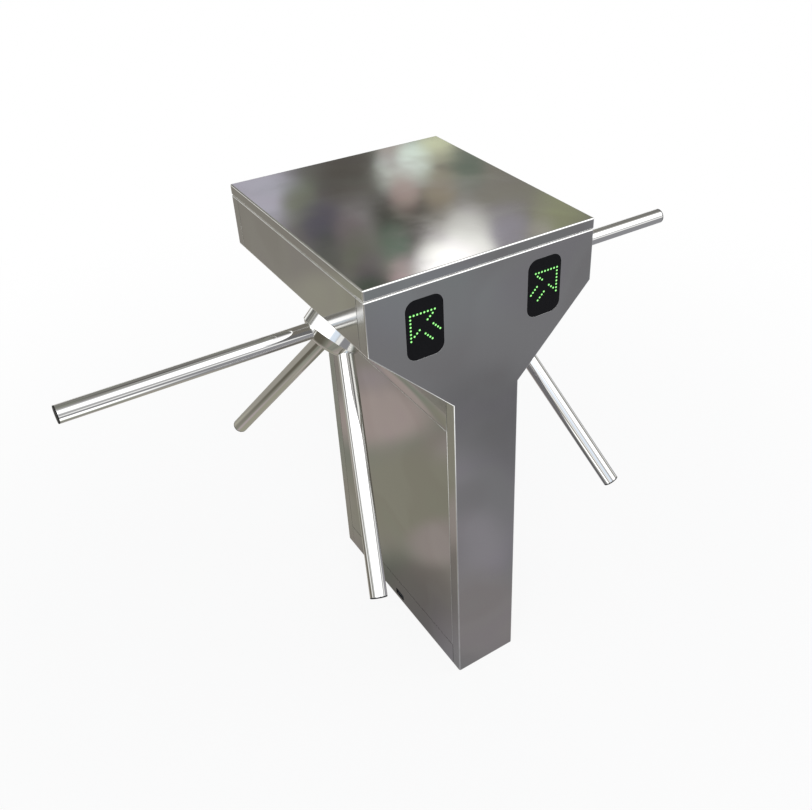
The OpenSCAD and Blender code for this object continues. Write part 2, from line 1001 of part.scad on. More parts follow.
module solenoid_bracket() {
  x0 = pin_x - bracket_w / 2;
  x1 = pin_x + bracket_w / 2;
  difference() {
    block([x0, bracket_y - bracket_t, plunger_z - solenoid_d / 2], [x1, bracket_y, plate_z]);
    translate([pin_x, bracket_y - bracket_t - over, plunger_z])
      rotate([-90, 0, 0]) cylinder(r = plunger_d / 2 + 2 * pass_gap, h = bracket_t + 2 * over);
  }
  block([x0, bracket_y - bracket_t, plate_z - bracket_t], [x1, bracket_y + foot_len, plate_z]);
}

module solenoid_brackets() {
  color("silver") both_sides() on_slope() front_and_rear() solenoid_bracket();
}

// Equipment in the column

module equipment_plate() {
  color("silver")
    block([-col_in_x + sheet_t, frame_in_y - eq_t, eq_z0], [col_in_x - sheet_t, frame_in_y, eq_z1]);
}

module power_supply() {
  y1 = frame_in_y - eq_t;
  color("lightgray") {
    block([-psu_w / 2, y1 - psu_d, psu_z0], [psu_w / 2, y1, psu_z0 + psu_h]);
    difference() {
      block([-psu_w / 2, y1 - strip_d, psu_z0 + psu_h - over],
            [psu_w / 2, y1, psu_z0 + psu_h + strip_h]);
      for (i = [0 : terminals - 1])
        translate([psu_w * ((i + 1 / 2) / terminals - 1 / 2), y1 - strip_d / 2, psu_z0 + psu_h])
          disc(screw_d / 4, strip_h / 2, strip_h + over);
    }
  }
}

module control_board() {
  y1 = frame_in_y - eq_t - standoff_h;
  y0 = y1 - board_t;
  inset = standoff_d;
  color("green") {
    block([-board_w / 2, y0, board_z0], [board_w / 2, y1, board_z0 + board_h]);
    for (x = [-1, 1], z = [board_z0 + inset, board_z0 + board_h - inset])
      translate([x * (board_w / 2 - inset), y0 + board_t / 2, z])
        rotate([-90, 0, 0]) cylinder(r = standoff_d / 2, h = standoff_h + board_t / 2);
    for (x = [-1, 0, 1])
      block([x * board_w / 3 - relay_w / 2, y0 - relay_h, board_z0 + 2 * inset],
            [x * board_w / 3 + relay_w / 2, y0 + board_t / 2, board_z0 + 2 * inset + relay_w]);
    block([-board_w / 4, y0 - relay_h / 4, board_z0 + board_h / 2],
          [board_w / 4, y0 + board_t / 2, board_z0 + board_h * 3 / 4]);
    block([-board_w / 3, y0 - relay_h / 2, board_z0 + board_h - 2 * relay_h],
          [board_w / 3, y0 + board_t / 2, board_z0 + board_h - relay_h]);
  }
}

// Loom from the board up into the head, with a branch to each position sensor
module wiring_loom() {
  board_y = frame_in_y - eq_t - standoff_h - board_t / 2;
  top = board_z0 + board_h;
  fork = [0, loom_d, neck_z + loom_rise];
  end = slope_point(sensor_x + bracket_t + branch_d, (disc_z0 + plate_z) / 2);
  color([0.1, 0.1, 0.1]) {
    cable([[0, board_y, top], [0, board_y, top + loom_rise], [0, frame_in_y / 2, neck_z], fork], loom_d);
    translate(fork) sphere(r = loom_d / 2 * tie_share);
    both_sides() cable([fork, end], branch_d);
    cable([[0, board_y, board_z0], [0, board_y, psu_z0 + psu_h + strip_h]], branch_d);
  }
}

// Lid and its hardware

module at_hinges() {
  for (x = [-1, 1]) translate([x * hinge_x, hinge_axis_y, hinge_axis_z]) children();
}

// A cylinder along X, round the hinge axis
module knuckle(r, x0, x1) {
  translate([x0, 0, 0]) rotate([0, 90, 0]) cylinder(r = r, h = x1 - x0);
}

module lid() {
  low = body_top + lid_gap;
  inner = [head_in_x, depth / 2 - sheet_t];
  rim = [head_in_x - lid_flange_w, depth / 2 - sheet_t - lid_flange_w];
  hook_y = -lock_y + cam_w / 2 + keeper_side_gap;
  foot_z = lock_z - cam_w / 2 - keeper_gap - keeper_t;
  tab_x = cam_x0 - keeper_gap - keeper_t;
  color(steel_color) {
    difference() {
      block([-head_w / 2, -depth / 2, low], [head_w / 2, depth / 2, total_h]);
      block([-inner[0], -inner[1], low + sheet_t], [inner[0], inner[1], total_h - sheet_t]);
      block([-rim[0], -rim[1], low - over], [rim[0], rim[1], low + sheet_t + over]);
    }
    // Keeper for the lock cam: a lug on the lid's flange, a tab down and a foot under the cam
    block([tab_x, hook_y, low], [head_in_x, hook_y + keeper_w, low + sheet_t]);
    block([tab_x, hook_y, foot_z], [tab_x + keeper_t, hook_y + keeper_w, low + sheet_t]);
    block([tab_x, hook_y, foot_z], [cam_x0 + cam_t, hook_y + keeper_w, foot_z + keeper_t]);
  }
}

module lid_hinge_leaves() {
  mid = hinge_len * knuckle_share / 2;
  r = knuckle_d / 2;
  color("silver")
    at_hinges()
      difference() {
        union() {
          block([-hinge_len / 2, -hinge_off, -leaf_h], [hinge_len / 2, leaf_t - hinge_off, -lid_gap]);
          block([-mid, -hinge_off, -leaf_h / 2], [mid, 0, 0]);
          knuckle(r, -mid, mid);
        }
        knuckle(pin_d / 2 + run_gap, -mid - over, mid + over);
        for (x = [0, 1])
          mirror([x, 0, 0]) knuckle(r + knuckle_gap, mid, hinge_len / 2 + over);
      }
}

module lid_hinge_straps() {
  mid = hinge_len * knuckle_share / 2;
  r = knuckle_d / 2;
  color("silver")
    at_hinges() {
      knuckle(pin_d / 2, -hinge_len / 2, hinge_len / 2);
      difference() {
        union() {
          knuckle(r, -hinge_len / 2, hinge_len / 2);
          block([-hinge_len / 2, -hinge_off, 0], [hinge_len / 2, 0, r]);
          block([-hinge_len / 2, -hinge_off, r - over], [hinge_len / 2, leaf_t - hinge_off, strap_h]);
        }
        knuckle(r + knuckle_gap, -mid - knuckle_gap, mid + knuckle_gap);
        block([-mid - knuckle_gap, -hinge_off + leaf_t, -r - over], [mid + knuckle_gap, r, r + over]);
        block([-hinge_len / 2 - over, -hinge_off - over, -over], [hinge_len / 2 + over, -r, lid_gap]);
      }
    }
}

module on_lock_axis() {
  translate([head_w / 2, -lock_y, lock_z]) rotate([0, 90, 0]) children();
}

module lid_lock_barrel() {
  color("silver")
    on_lock_axis()
      difference() {
        union() {
          disc(lock_d / 2, -lock_len + cam_t + pass_gap, lock_rim_t);
          disc(lock_rim_r, 0, lock_rim_t);
        }
        disc(plug_d / 2 + run_gap, -lock_len, lock_rim_t + over);
      }
}

// Lock plug with its key slot, and the cam that points up when the lid is free
module lid_lock_cam() {
  color("gold")
    on_lock_axis() {
      difference() {
        disc(plug_d / 2, -lock_len, lock_rim_t);
        block([-key_h / 2, -key_w / 2, -over], [key_h / 2, key_w / 2, lock_rim_t + over]);
      }
      block([-cam_len, -cam_w / 2, -lock_len], [cam_w / 2, cam_w / 2, -lock_len + cam_t]);
    }
}

base_plate();
front_frame();
rear_frame();
cross_rails();
front_panel();
rear_panel();
left_side_sheet();
right_side_sheet();
plinth_strips();
display_windows();
arrow_lamps();
lamp_boards();
mechanism_plates();
bearing_housings();
shaft_bearings();
solenoids();
solenoid_brackets();
pawl_posts();
rotary_dampers();
damper_brackets();
position_sensors();
mechanism_screws();
equipment_plate();
power_supply();
control_board();
wiring_loom();
lid_hinge_leaves();
lid_lock_barrel();
lid();
lid_hinge_straps();
lid_lock_cam();
left_door();
right_door();
left_hub();
left_shaft();
left_arm_side();
left_arm_front();
left_arm_rear();
left_arm_plugs();
left_index_disc();
left_rotor_gear();
right_hub();
right_shaft();
right_arm_side();
right_arm_front();
right_arm_rear();
right_arm_plugs();
right_index_disc();
right_rotor_gear();
left_damper_pinion();
right_damper_pinion();
left_front_pawl();
left_rear_pawl();
right_front_pawl();
right_rear_pawl();
left_front_plunger();
left_rear_plunger();
right_front_plunger();
right_rear_plunger();
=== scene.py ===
"""Looks of a double tripod turnstile in polished stainless steel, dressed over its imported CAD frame.

The outer sheets get their bend radii, the rotors their chrome and domed noses, the displays their lamps, and
the mechanism and the electronics the small parts that show when the lid or a door is open.
"""

import json
import logging
import math
from collections.abc import Callable, Iterable
from dataclasses import dataclass, replace
from enum import Enum

import bmesh
import bpy
from bmesh.types import BMEdge, BMesh, BMFace
from bpy.types import Material, Mesh, Node, NodeSocket, NodeTree, Object, World
from mathutils import Matrix, Vector
from mathutils.bvhtree import BVHTree

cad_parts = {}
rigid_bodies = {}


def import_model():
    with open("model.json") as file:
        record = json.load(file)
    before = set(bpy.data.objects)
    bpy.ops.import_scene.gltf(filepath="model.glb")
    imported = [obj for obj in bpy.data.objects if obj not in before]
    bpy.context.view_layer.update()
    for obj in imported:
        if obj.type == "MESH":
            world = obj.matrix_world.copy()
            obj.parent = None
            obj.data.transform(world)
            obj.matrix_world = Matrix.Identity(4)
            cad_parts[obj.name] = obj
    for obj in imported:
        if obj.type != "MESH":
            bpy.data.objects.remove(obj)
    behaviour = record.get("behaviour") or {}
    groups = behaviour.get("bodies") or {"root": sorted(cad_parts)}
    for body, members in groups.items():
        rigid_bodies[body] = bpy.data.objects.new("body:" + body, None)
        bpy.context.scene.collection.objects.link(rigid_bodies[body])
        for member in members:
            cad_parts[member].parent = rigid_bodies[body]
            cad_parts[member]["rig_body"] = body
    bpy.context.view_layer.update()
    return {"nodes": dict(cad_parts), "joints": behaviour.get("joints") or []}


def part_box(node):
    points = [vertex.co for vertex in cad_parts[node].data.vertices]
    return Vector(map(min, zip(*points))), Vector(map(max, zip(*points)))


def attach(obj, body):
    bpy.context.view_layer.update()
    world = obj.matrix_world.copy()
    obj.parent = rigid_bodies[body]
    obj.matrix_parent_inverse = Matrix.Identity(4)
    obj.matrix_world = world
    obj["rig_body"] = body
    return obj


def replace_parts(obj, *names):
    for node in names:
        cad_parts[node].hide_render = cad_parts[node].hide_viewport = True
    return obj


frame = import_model()

MM = 0.001
Pair = tuple[float, float]
Triple = tuple[float, float, float]
Colour = Triple
Row = tuple[float, ...]
Value = float | Row | NodeSocket
Inputs = dict[str | int, Value]
Sockets = dict[str, NodeSocket]
ORIGIN: Triple = (0.0, 0.0, 0.0)
WHITE: Colour = (1.0, 1.0, 1.0)
FORWARD = Vector((0, -1, 0))
BACKWARD = Vector((0, 1, 0))
UPWARD = Vector((0, 0, 1))

log = logging.getLogger("turnstile")


class Side(Enum):
    """The two halves of the turnstile, as the frame names them."""

    LEFT = "left"
    RIGHT = "right"


class Grain(Enum):
    """How a metal's surface was worked, by the name of its pattern."""

    LINES = "worked_grain"
    TURNED = "turned_grain"
    CAST = "cast_grain"
    SPANGLE = "spangle_grain"


class Mark(Enum):
    """What meshes keep at their faces or points."""

    BEND = "bend"
    CORE = "core"
    WAY = "way"


def rgba(colour: Colour) -> Row:
    """A colour with full opacity."""
    return (*colour, 1.0)


class Tree:
    """A node tree while it is being built."""

    def __init__(self, tree: NodeTree) -> None:
        """Keeps the tree that nodes are added to."""
        self.tree = tree

    @classmethod
    def emptied(cls, owner: Material | World) -> "Tree":
        """The tree of a material or a world, without its first nodes.

        Args:
            owner: The material or the world.

        Returns:
            Its tree, ready to be built.
        """
        owner.use_nodes = True
        owner.node_tree.nodes.clear()
        return cls(owner.node_tree)

    def feed(self, node: Node, inputs: Inputs) -> None:
        """Sets or links a node's inputs.

        Args:
            node: The node.
            inputs: A constant or an output socket for each input, by name or by place.
        """
        for key, value in inputs.items():
            if isinstance(value, NodeSocket):
                self.tree.links.new(value, node.inputs[key])
            else:
                node.inputs[key].default_value = value

    def add(self, kind: str, inputs: Inputs | None = None, **settings: object) -> Node:
        """Adds one node.

        Args:
            kind: The node's type.
            inputs: A constant or an output socket for each input, by name or by place.
            settings: The node's own properties.

        Returns:
            The new node.
        """
        node = self.tree.nodes.new(kind)
        for name, value in settings.items():
            setattr(node, name, value)
        self.feed(node, inputs or {})
        return node

    def first(self, kind: str, inputs: Inputs | None = None, **settings: object) -> NodeSocket:
        """The first output of a new node."""
        return self.add(kind, inputs, **settings).outputs[0]

    def calc(self, operation: str, a: Value, b: Value = 0.0) -> NodeSocket:
        """The result of one sum."""
        return self.first("ShaderNodeMath", {0: a, 1: b}, operation=operation)

    def vector(self, operation: str, a: Value, b: Value = ORIGIN) -> NodeSocket:
        """The vector that a vector sum gives."""
        return self.first("ShaderNodeVectorMath", {0: a, 1: b}, operation=operation)

    def measure(self, operation: str, a: Value, b: Value = ORIGIN) -> NodeSocket:
        """The number that a vector sum gives."""
        return self.add("ShaderNodeVectorMath", {0: a, 1: b}, operation=operation).outputs["Value"]

    def where(self) -> NodeSocket:
        """Object coordinates."""
        return self.add("ShaderNodeTexCoord").outputs["Object"]

    def split(self, place: Value) -> tuple[NodeSocket, ...]:
        """The X, Y and Z of a place."""
        return tuple(self.add("ShaderNodeSeparateXYZ", {0: place}).outputs)

    def grey(self, value: Value) -> NodeSocket:
        """A value as a grey colour."""
        return self.first("ShaderNodeCombineColor", {0: value, 1: value, 2: value})

    def kept(self, mark: Mark) -> NodeSocket:
        """A mark that the mesh keeps."""
        return self.add("ShaderNodeAttribute", attribute_name=mark.value).outputs["Fac"]

    def bump(self, height: Value, distance: float, strength: float) -> NodeSocket:
        """A normal that follows a height."""
        return self.first("ShaderNodeBump", {"Strength": strength, "Distance": distance, "Height": height})

    def shared(self, name: str, **inputs: Value) -> NodeSocket:
        """What a shared pattern puts out for these inputs."""
        return self.first("ShaderNodeGroup", inputs, node_tree=pattern_group(name))

    def mix(self, share: Value, a: Value, b: Value, blend: str = "MIX") -> NodeSocket:
        """Two colours mixed by a share of the second."""
        node = self.add("ShaderNodeMix", {0: share, 6: a, 7: b}, data_type="RGBA", blend_type=blend)
        return node.outputs[2]

    def span(self, value: Value, low: float, high: float, start: Value = 0.0, end: Value = 1.0) -> NodeSocket:
        """A value carried smoothly from one range to another."""
        inputs = {0: value, 1: low, 2: high, 3: start, 4: end}
        return self.first("ShaderNodeMapRange", inputs, interpolation_type="SMOOTHSTEP")

    def noise(self, place: Value, scale: Value, seed: Value = 0.0, detail: float = 2.0) -> NodeSocket:
        """Soft noise from 0 to 1."""
        inputs = {"Vector": place, "W": seed, "Scale": scale, "Detail": detail}
        return self.first("ShaderNodeTexNoise", inputs, noise_dimensions="4D")

    def ramp(self, value: Value, stops: Iterable[tuple[float, Colour]]) -> NodeSocket:
        """A colour chosen by a value along a row of stops.

        Args:
            value: The value.
            stops: The place and the colour of each stop.

        Returns:
            The colour.
        """
        node = self.add("ShaderNodeValToRGB", {0: value})
        node.color_ramp.interpolation = "EASE"
        elements = node.color_ramp.elements
        elements.remove(elements[1])
        for index, (place, colour) in enumerate(stops):
            element = elements.new(place) if index else elements[0]
            element.position = place
            element.color = rgba(colour)
        return node.outputs[0]


# Tints of the steel's soft patches: heat tint and smudges, and partly a painted reflection of a mottled
# surround
STEEL_TINTS_AND_REFLECTIONS = (
    (0.30, (0.78, 0.86, 0.78)),
    (0.44, (0.80, 0.77, 0.74)),
    (0.52, (0.96, 0.97, 0.94)),
    (0.60, (0.92, 0.87, 0.94)),
    (0.72, (1.0, 1.0, 0.97)),
)
SMEAR_SCALE = 9.0
SMEAR_RANGE = (0.42, 0.68)
# Patches along bends and rims: polish, and partly a painted highlight
BEND_WEAR_AND_HIGHLIGHT_SCALE = 40.0
BEND_WEAR_AND_HIGHLIGHT_RANGE = (0.2, 0.6)
LEAST_BEND_WEAR_AND_HIGHLIGHT = 0.6
PIT_SCALE = 0.7
LUMP_SHARE = 0.7
CLOUD_RANGE = (0.3, 0.7)


def soft_blotches(build: Tree, given: Sockets) -> NodeSocket:
    """Tints steel with large soft patches of green, mauve and tan grey: faint heat tint and smudges, and
    partly a painted reflection of a mottled surround.
    """
    tints = build.ramp(build.noise(given["Place"], given["Scale"], given["Seed"], detail=1.0), STEEL_TINTS_AND_REFLECTIONS)
    return build.mix(given["Amount"], given["Base"], build.mix(1.0, given["Base"], tints, "MULTIPLY"))


def drawn_out(build: Tree, given: Sockets) -> NodeSocket:
    """A pattern's place, drawn out by its lines."""
    return build.vector("MULTIPLY", given["Place"], given["Lines"])


def worked_grain(build: Tree, given: Sockets) -> NodeSocket:
    """Brushed lines: noise drawn out along one axis and close together across it."""
    return build.noise(drawn_out(build, given), 1.0, given["Seed"], detail=3.0)


def turned_grain(build: Tree, given: Sockets) -> NodeSocket:
    """Lathe marks: fine rings round the Z axis of the place.

    Args:
        build: The group's tree.
        given: The group's inputs.

    Returns:
        The marks, from 0 to 1.
    """
    x, y, z = build.split(given["Place"])
    radius = build.calc("SQRT", build.calc("ADD", build.calc("POWER", x, 2.0), build.calc("POWER", y, 2.0)))
    rings = build.first("ShaderNodeCombineXYZ", {0: 0.0, 1: radius, 2: z})
    return build.noise(build.vector("MULTIPLY", rings, given["Lines"]), 1.0, given["Seed"], detail=2.0)


def cast_grain(build: Tree, given: Sockets) -> NodeSocket:
    """A sand-cast or moulded skin: small rounded lumps and pits.

    Args:
        build: The group's tree.
        given: The group's inputs.

    Returns:
        The skin's height, from 0 to 1.
    """
    drawn = drawn_out(build, given)
    lumps = build.noise(drawn, 1.0, given["Seed"], detail=4.0)
    pits = build.first("ShaderNodeTexVoronoi", {"Vector": drawn, "Scale": PIT_SCALE})
    raised = build.calc("MULTIPLY", lumps, LUMP_SHARE)
    return build.calc("ADD", raised, build.calc("MULTIPLY", pits, 1 - LUMP_SHARE))


def spangle_grain(build: Tree, given: Sockets) -> NodeSocket:
    """Zinc plate: crystals of slightly different brightness."""
    crystals = build.add("ShaderNodeTexVoronoi", {"Vector": drawn_out(build, given), "Scale": 1.0})
    return build.first("ShaderNodeSeparateColor", {0: crystals.outputs["Color"]})


def handling_marks(build: Tree, given: Sockets) -> NodeSocket:
    """Dulls a polished surface in soft smears where hands and cloths have been.

    Args:
        build: The group's tree.
        given: The group's inputs.

    Returns:
        The roughness, from the least to the most.
    """
    smear = build.span(build.noise(given["Place"], SMEAR_SCALE, given["Seed"], detail=5.0), *SMEAR_RANGE)
    more = build.calc("MULTIPLY", smear, build.calc("SUBTRACT", given["Most"], given["Least"]))
    return build.calc("ADD", given["Least"], more)


def bend_polish(build: Tree, given: Sockets) -> NodeSocket:
    """Marks bends and rims, in patches: polished by touch, and where the finishes paint a highlight into the
    colour.
    """
    patches = build.noise(given["Place"], BEND_WEAR_AND_HIGHLIGHT_SCALE, given["Seed"])
    return build.calc("MULTIPLY", build.kept(Mark.BEND), build.span(patches, *BEND_WEAR_AND_HIGHLIGHT_RANGE, LEAST_BEND_WEAR_AND_HIGHLIGHT, 1.0))


SOCKET_KINDS = {
    "Place": "NodeSocketVector",
    "Lines": "NodeSocketVector",
    "Base": "NodeSocketColor",
    "Color": "NodeSocketColor",
}


@dataclass(frozen=True)
class Pattern:
    """A shader node group that more than one finish uses."""

    draw: Callable[[Tree, Sockets], NodeSocket]
    inputs: tuple[str, ...] = ("Place", "Lines", "Seed")
    output: str = "Value"

    def group(self, name: str) -> NodeTree:
        """Builds the pattern's group.

        Args:
            name: The group's name.

        Returns:
            The group's tree.
        """
        tree = bpy.data.node_groups.new(name, "ShaderNodeTree")
        for label in (*self.inputs, self.output):
            direction = "OUTPUT" if label == self.output else "INPUT"
            kind = SOCKET_KINDS.get(label, "NodeSocketFloat")
            tree.interface.new_socket(label, in_out=direction, socket_type=kind)
        build = Tree(tree)
        given = {socket.name: socket for socket in build.add("NodeGroupInput").outputs}
        build.add("NodeGroupOutput", {0: self.draw(build, given)})
        return tree


PATTERNS = {
    "soft_blotches": Pattern(soft_blotches, ("Place", "Scale", "Seed", "Amount", "Base"), "Color"),
    Grain.LINES.value: Pattern(worked_grain),
    Grain.TURNED.value: Pattern(turned_grain),
    Grain.CAST.value: Pattern(cast_grain),
    Grain.SPANGLE.value: Pattern(spangle_grain),
    "handling_marks": Pattern(handling_marks, ("Place", "Seed", "Least", "Most"), "Roughness"),
    "bend_polish": Pattern(bend_polish, ("Place", "Seed"), "Mask"),
}


def pattern_group(name: str) -> NodeTree:
    """A shared pattern's group, built the first time it is asked for."""
    return bpy.data.node_groups.get(name) or PATTERNS[name].group(name)


@dataclass(frozen=True)
class Finish:
    """What every finish has: its name, the record's material slot, and a pattern's own place and seed."""

    name: str
    slot: str
    base: Colour
    roughness: Pair = (0.2, 0.3)
    turn_place: Triple = ORIGIN
    turn_angles: Triple = ORIGIN
    seed: float = 0.0

    def material(self) -> Material:
        """The finish's material, made once.

        Returns:
            The material.
        """
        made = bpy.data.materials.get(self.name)
        if made is None:
            made = bpy.data.materials.new(self.name)
            build = Tree.emptied(made)
            shader = build.add("ShaderNodeBsdfPrincipled", {"Base Color": rgba(self.base)})
            build.add("ShaderNodeOutputMaterial", {"Surface": shader.outputs[0]})
            build.feed(shader, self.dress(build, self.place(build)))
        return made

    def place(self, build: Tree) -> NodeSocket:
        """Object coordinates, turned and centred for the pattern."""
        inputs = {"Vector": build.where(), "Location": self.turn_place, "Rotation": self.turn_angles}
        return build.first("ShaderNodeMapping", inputs, vector_type="TEXTURE")

    def marks(self, build: Tree, place: NodeSocket) -> NodeSocket:
        """The finish's roughness with the smears of handling."""
        least, most = self.roughness
        return build.shared("handling_marks", Place=place, Seed=self.seed, Least=least, Most=most)

    def bends(self, build: Tree, place: NodeSocket) -> NodeSocket:
        """Where the surface is bent or at a rim."""
        return build.shared("bend_polish", Place=place, Seed=self.seed)

    def dress(self, build: Tree, place: NodeSocket) -> Inputs:
        """Adds the finish's own nodes and gives the shader's inputs."""
        raise NotImplementedError


@dataclass(frozen=True)
class Metal(Finish):
    """Bare or plated metal with its grain, blotches that are partly a painted reflection, smears, and
    polished bends that carry a painted highlight.
    """

    grain: Grain = Grain.LINES
    lines: Triple = (12.0, 700.0, 700.0)
    relief: float = 0.02 * MM
    tone: float = 0.06
    tone_range: Pair = (0.25, 0.75)
    rough_range: Pair = (0.3, 0.8)
    blotches: float = 0.0
    blotch_scale: float = 3.0
    # The colour that bends and rims turn to: polish, and partly a painted highlight
    shine: Colour = (0.9, 0.9, 0.88)
    bend_share: float = 0.6

    def dress(self, build: Tree, place: NodeSocket) -> Inputs:
        """Adds the metal's nodes.

        Args:
            build: The material's tree.
            place: Object coordinates, turned and centred.

        Returns:
            The shader's inputs.
        """
        grain = build.shared(self.grain.value, Place=place, Lines=self.lines, Seed=self.seed)
        # Soft patches in the base colour: heat tint and smudges, and partly a painted reflection
        blotchy = build.shared("soft_blotches", Place=place, Scale=self.blotch_scale, Seed=self.seed,
                               Amount=self.blotches, Base=rgba(self.base))
        shade = build.grey(build.span(grain, *self.tone_range, 1.0 - self.tone, 1.0))
        bend = self.bends(build, place)
        more = build.span(grain, *self.rough_range, 0.0, self.tone)
        rough = build.calc("ADD", self.marks(build, place), more)
        return {
            # Bends and rims lightened towards the shine colour: polish, and partly a painted highlight
            "Base Color": build.mix(bend, build.mix(1.0, blotchy, shade, "MULTIPLY"), rgba(self.shine)),
            "Metallic": 1.0,
            "Roughness": build.calc("MULTIPLY", rough, build.span(bend, 0.0, 1.0, 1.0, self.bend_share)),
            "Normal": build.bump(grain, self.relief, strength=0.5),
        }


@dataclass(frozen=True)
class Coating(Finish):
    """Plastic, rubber or paint: a coloured skin with moulded grain, slight fading, and a painted shine with
    wear on its rims.
    """

    lines: Triple = (900.0, 900.0, 900.0)
    relief: float = 0.03 * MM
    fade: Colour = (0.5, 0.5, 0.5)
    faded: float = 0.12
    fade_range: Pair = (0.35, 0.7)
    fade_scale: float = 14.0
    specular: float = 0.5

    def dress(self, build: Tree, place: NodeSocket) -> Inputs:
        """Adds the coating's nodes.

        Args:
            build: The material's tree.
            place: Object coordinates, turned and centred.

        Returns:
            The shader's inputs.
        """
        grain = build.shared(Grain.CAST.value, Place=place, Lines=self.lines, Seed=self.seed)
        cloud = build.noise(place, self.fade_scale, self.seed, detail=3.0)
        # Rims lightened towards the fade colour: wear, and partly a painted highlight
        rims = build.calc("MULTIPLY", self.bends(build, place), self.faded)
        fade_and_rim_highlight = build.calc("ADD", build.span(cloud, *self.fade_range, 0.0, self.faded), rims)
        return {
            "Base Color": build.mix(fade_and_rim_highlight, rgba(self.base), rgba(self.fade)),
            "Roughness": self.marks(build, place),
            "Specular IOR Level": self.specular,
            "Normal": build.bump(grain, self.relief, strength=0.6),
        }


@dataclass(frozen=True)
class LampLens(Finish):
    """A lit lamp: pale in the middle of its lens and deeper green round it."""

    rim: Colour = (0.01, 0.25, 0.02)
    glow: float = 1.0
    flicker_scale: float = 160.0
    least_light: float = 0.88
    core_edge: float = 0.8

    def dress(self, build: Tree, place: NodeSocket) -> Inputs:
        """Adds the lamp's nodes.

        Args:
            build: The material's tree.
            place: Object coordinates, turned and centred.

        Returns:
            The shader's inputs.
        """
        cloud = build.noise(place, self.flicker_scale, self.seed)
        flicker = build.span(cloud, *CLOUD_RANGE, self.least_light, 1.0)
        core = build.span(build.kept(Mark.CORE), 0.0, self.core_edge)
        light = build.mix(core, rgba(self.rim), rgba(self.base))
        return {
            "Base Color": rgba(self.rim),
            "Roughness": build.span(flicker, self.least_light, 1.0, *self.roughness),
            "Emission Color": build.mix(1.0, light, build.grey(flicker), "MULTIPLY"),
            "Emission Strength": self.glow,
        }


@dataclass(frozen=True)
class BoardLacquer(Finish):
    """Green solder lacquer over copper tracks."""

    track: Colour = (0.05, 0.22, 0.07)
    pitch: float = 9.0 * MM
    track_relief: float = 0.05 * MM
    track_metal: float = 0.3
    cloud_scale: float = 60.0
    coat: Pair = (0.3, 0.5)

    def dress(self, build: Tree, place: NodeSocket) -> Inputs:
        """Adds the board's nodes.

        Args:
            build: The material's tree.
            place: Object coordinates, turned and centred.

        Returns:
            The shader's inputs.
        """
        rows = {"Mortar Size": 0.035, "Brick Width": 3.1, "Row Height": 0.22}
        steps = {"offset": 0.37, "offset_frequency": 3, "squash": 0.4, "squash_frequency": 4}
        brick = build.add("ShaderNodeTexBrick", {"Vector": place, "Scale": 1.0 / self.pitch, **rows}, **steps)
        tracks = brick.outputs["Fac"]
        cloud = build.noise(place, self.cloud_scale, self.seed)
        return {
            "Base Color": build.mix(tracks, rgba(self.base), rgba(self.track)),
            "Roughness": build.span(cloud, *CLOUD_RANGE, *self.roughness),
            "Metallic": build.calc("MULTIPLY", tracks, self.track_metal),
            "Coat Weight": build.span(cloud, *CLOUD_RANGE, *self.coat),
            "Normal": build.bump(tracks, self.track_relief, strength=0.4),
        }


STEEL: Colour = (0.56, 0.555, 0.545)
LID_STEEL = Metal(
    "lid_steel", "satin_steel", STEEL, (0.06, 0.10), seed=3.0,
    lines=(10.0, 900.0, 900.0), relief=0.004 * MM, tone=0.02, blotches=0.3, blotch_scale=5.0,
)
FRONT_STEEL = Metal(
    "front_steel", "satin_steel", STEEL, (0.13, 0.19), seed=5.0,
    lines=(700.0, 700.0, 9.0), relief=0.004 * MM, tone=0.02, blotches=0.25, blotch_scale=4.0,
)
SIDE_STEEL = Metal(
    "side_steel", "satin_steel", STEEL, (0.07, 0.12), seed=8.0,
    lines=(900.0, 8.0, 900.0), relief=0.003 * MM, tone=0.02, blotches=0.3, blotch_scale=5.0,
)
CHROME = Metal(
    "tube_chrome", "polished_tube", (0.86, 0.86, 0.84), (0.03, 0.07), seed=2.0,
    lines=(300.0, 300.0, 300.0), relief=0.002 * MM, tone=0.02,
)
HUB_STEEL = Metal(
    "hub_chrome", "polished_hub", (0.80, 0.80, 0.78), (0.05, 0.10), seed=6.0,
    grain=Grain.TURNED, lines=(1.0, 900.0, 900.0), relief=0.001 * MM, tone=0.03,
)
SHAFT_STEEL = Metal(
    "turned_shaft", "bearing_steel", (0.66, 0.66, 0.67), (0.15, 0.24),
    grain=Grain.TURNED, lines=(1.0, 1500.0, 1500.0), tone=0.1,
)
DISC_STEEL = Metal(
    "turned_disc", "pawl_steel", (0.50, 0.50, 0.52), (0.2, 0.3),
    grain=Grain.TURNED, lines=(1.0, 1200.0, 1200.0), tone=0.14,
)
GROUND_STEEL = Metal(
    "ground_steel", "bearing_steel", (0.66, 0.66, 0.67), (0.12, 0.2), grain=Grain.CAST, tone=0.04
)
PAWL_STEEL = Metal(
    "pawl_steel_ground", "pawl_steel", (0.46, 0.46, 0.48), (0.24, 0.36), lines=(40.0, 900.0, 900.0), tone=0.1
)
SUPPLY_CASE = Metal(
    "supply_case_sheet", "supply_case", (0.62, 0.63, 0.64), (0.28, 0.4), lines=(500.0, 14.0, 500.0), tone=0.08
)
ZINC = Metal(
    "zinc_plate", "zinc_steel", (0.60, 0.61, 0.60), (0.30, 0.42), seed=4.0,
    grain=Grain.SPANGLE, lines=(110.0, 110.0, 110.0), tone=0.08, blotches=0.15, blotch_scale=9.0,
)
CAST_IRON = Metal(
    "cast_housing_skin", "cast_housing", (0.30, 0.31, 0.32), (0.45, 0.6),
    grain=Grain.CAST, lines=(500.0, 500.0, 500.0), relief=0.25 * MM, tone=0.2,
)
BLACK_OXIDE = Metal(
    "black_oxide_skin", "black_oxide", (0.06, 0.06, 0.065), (0.35, 0.5),
    grain=Grain.CAST, tone=0.15, shine=(0.22, 0.22, 0.23),
)
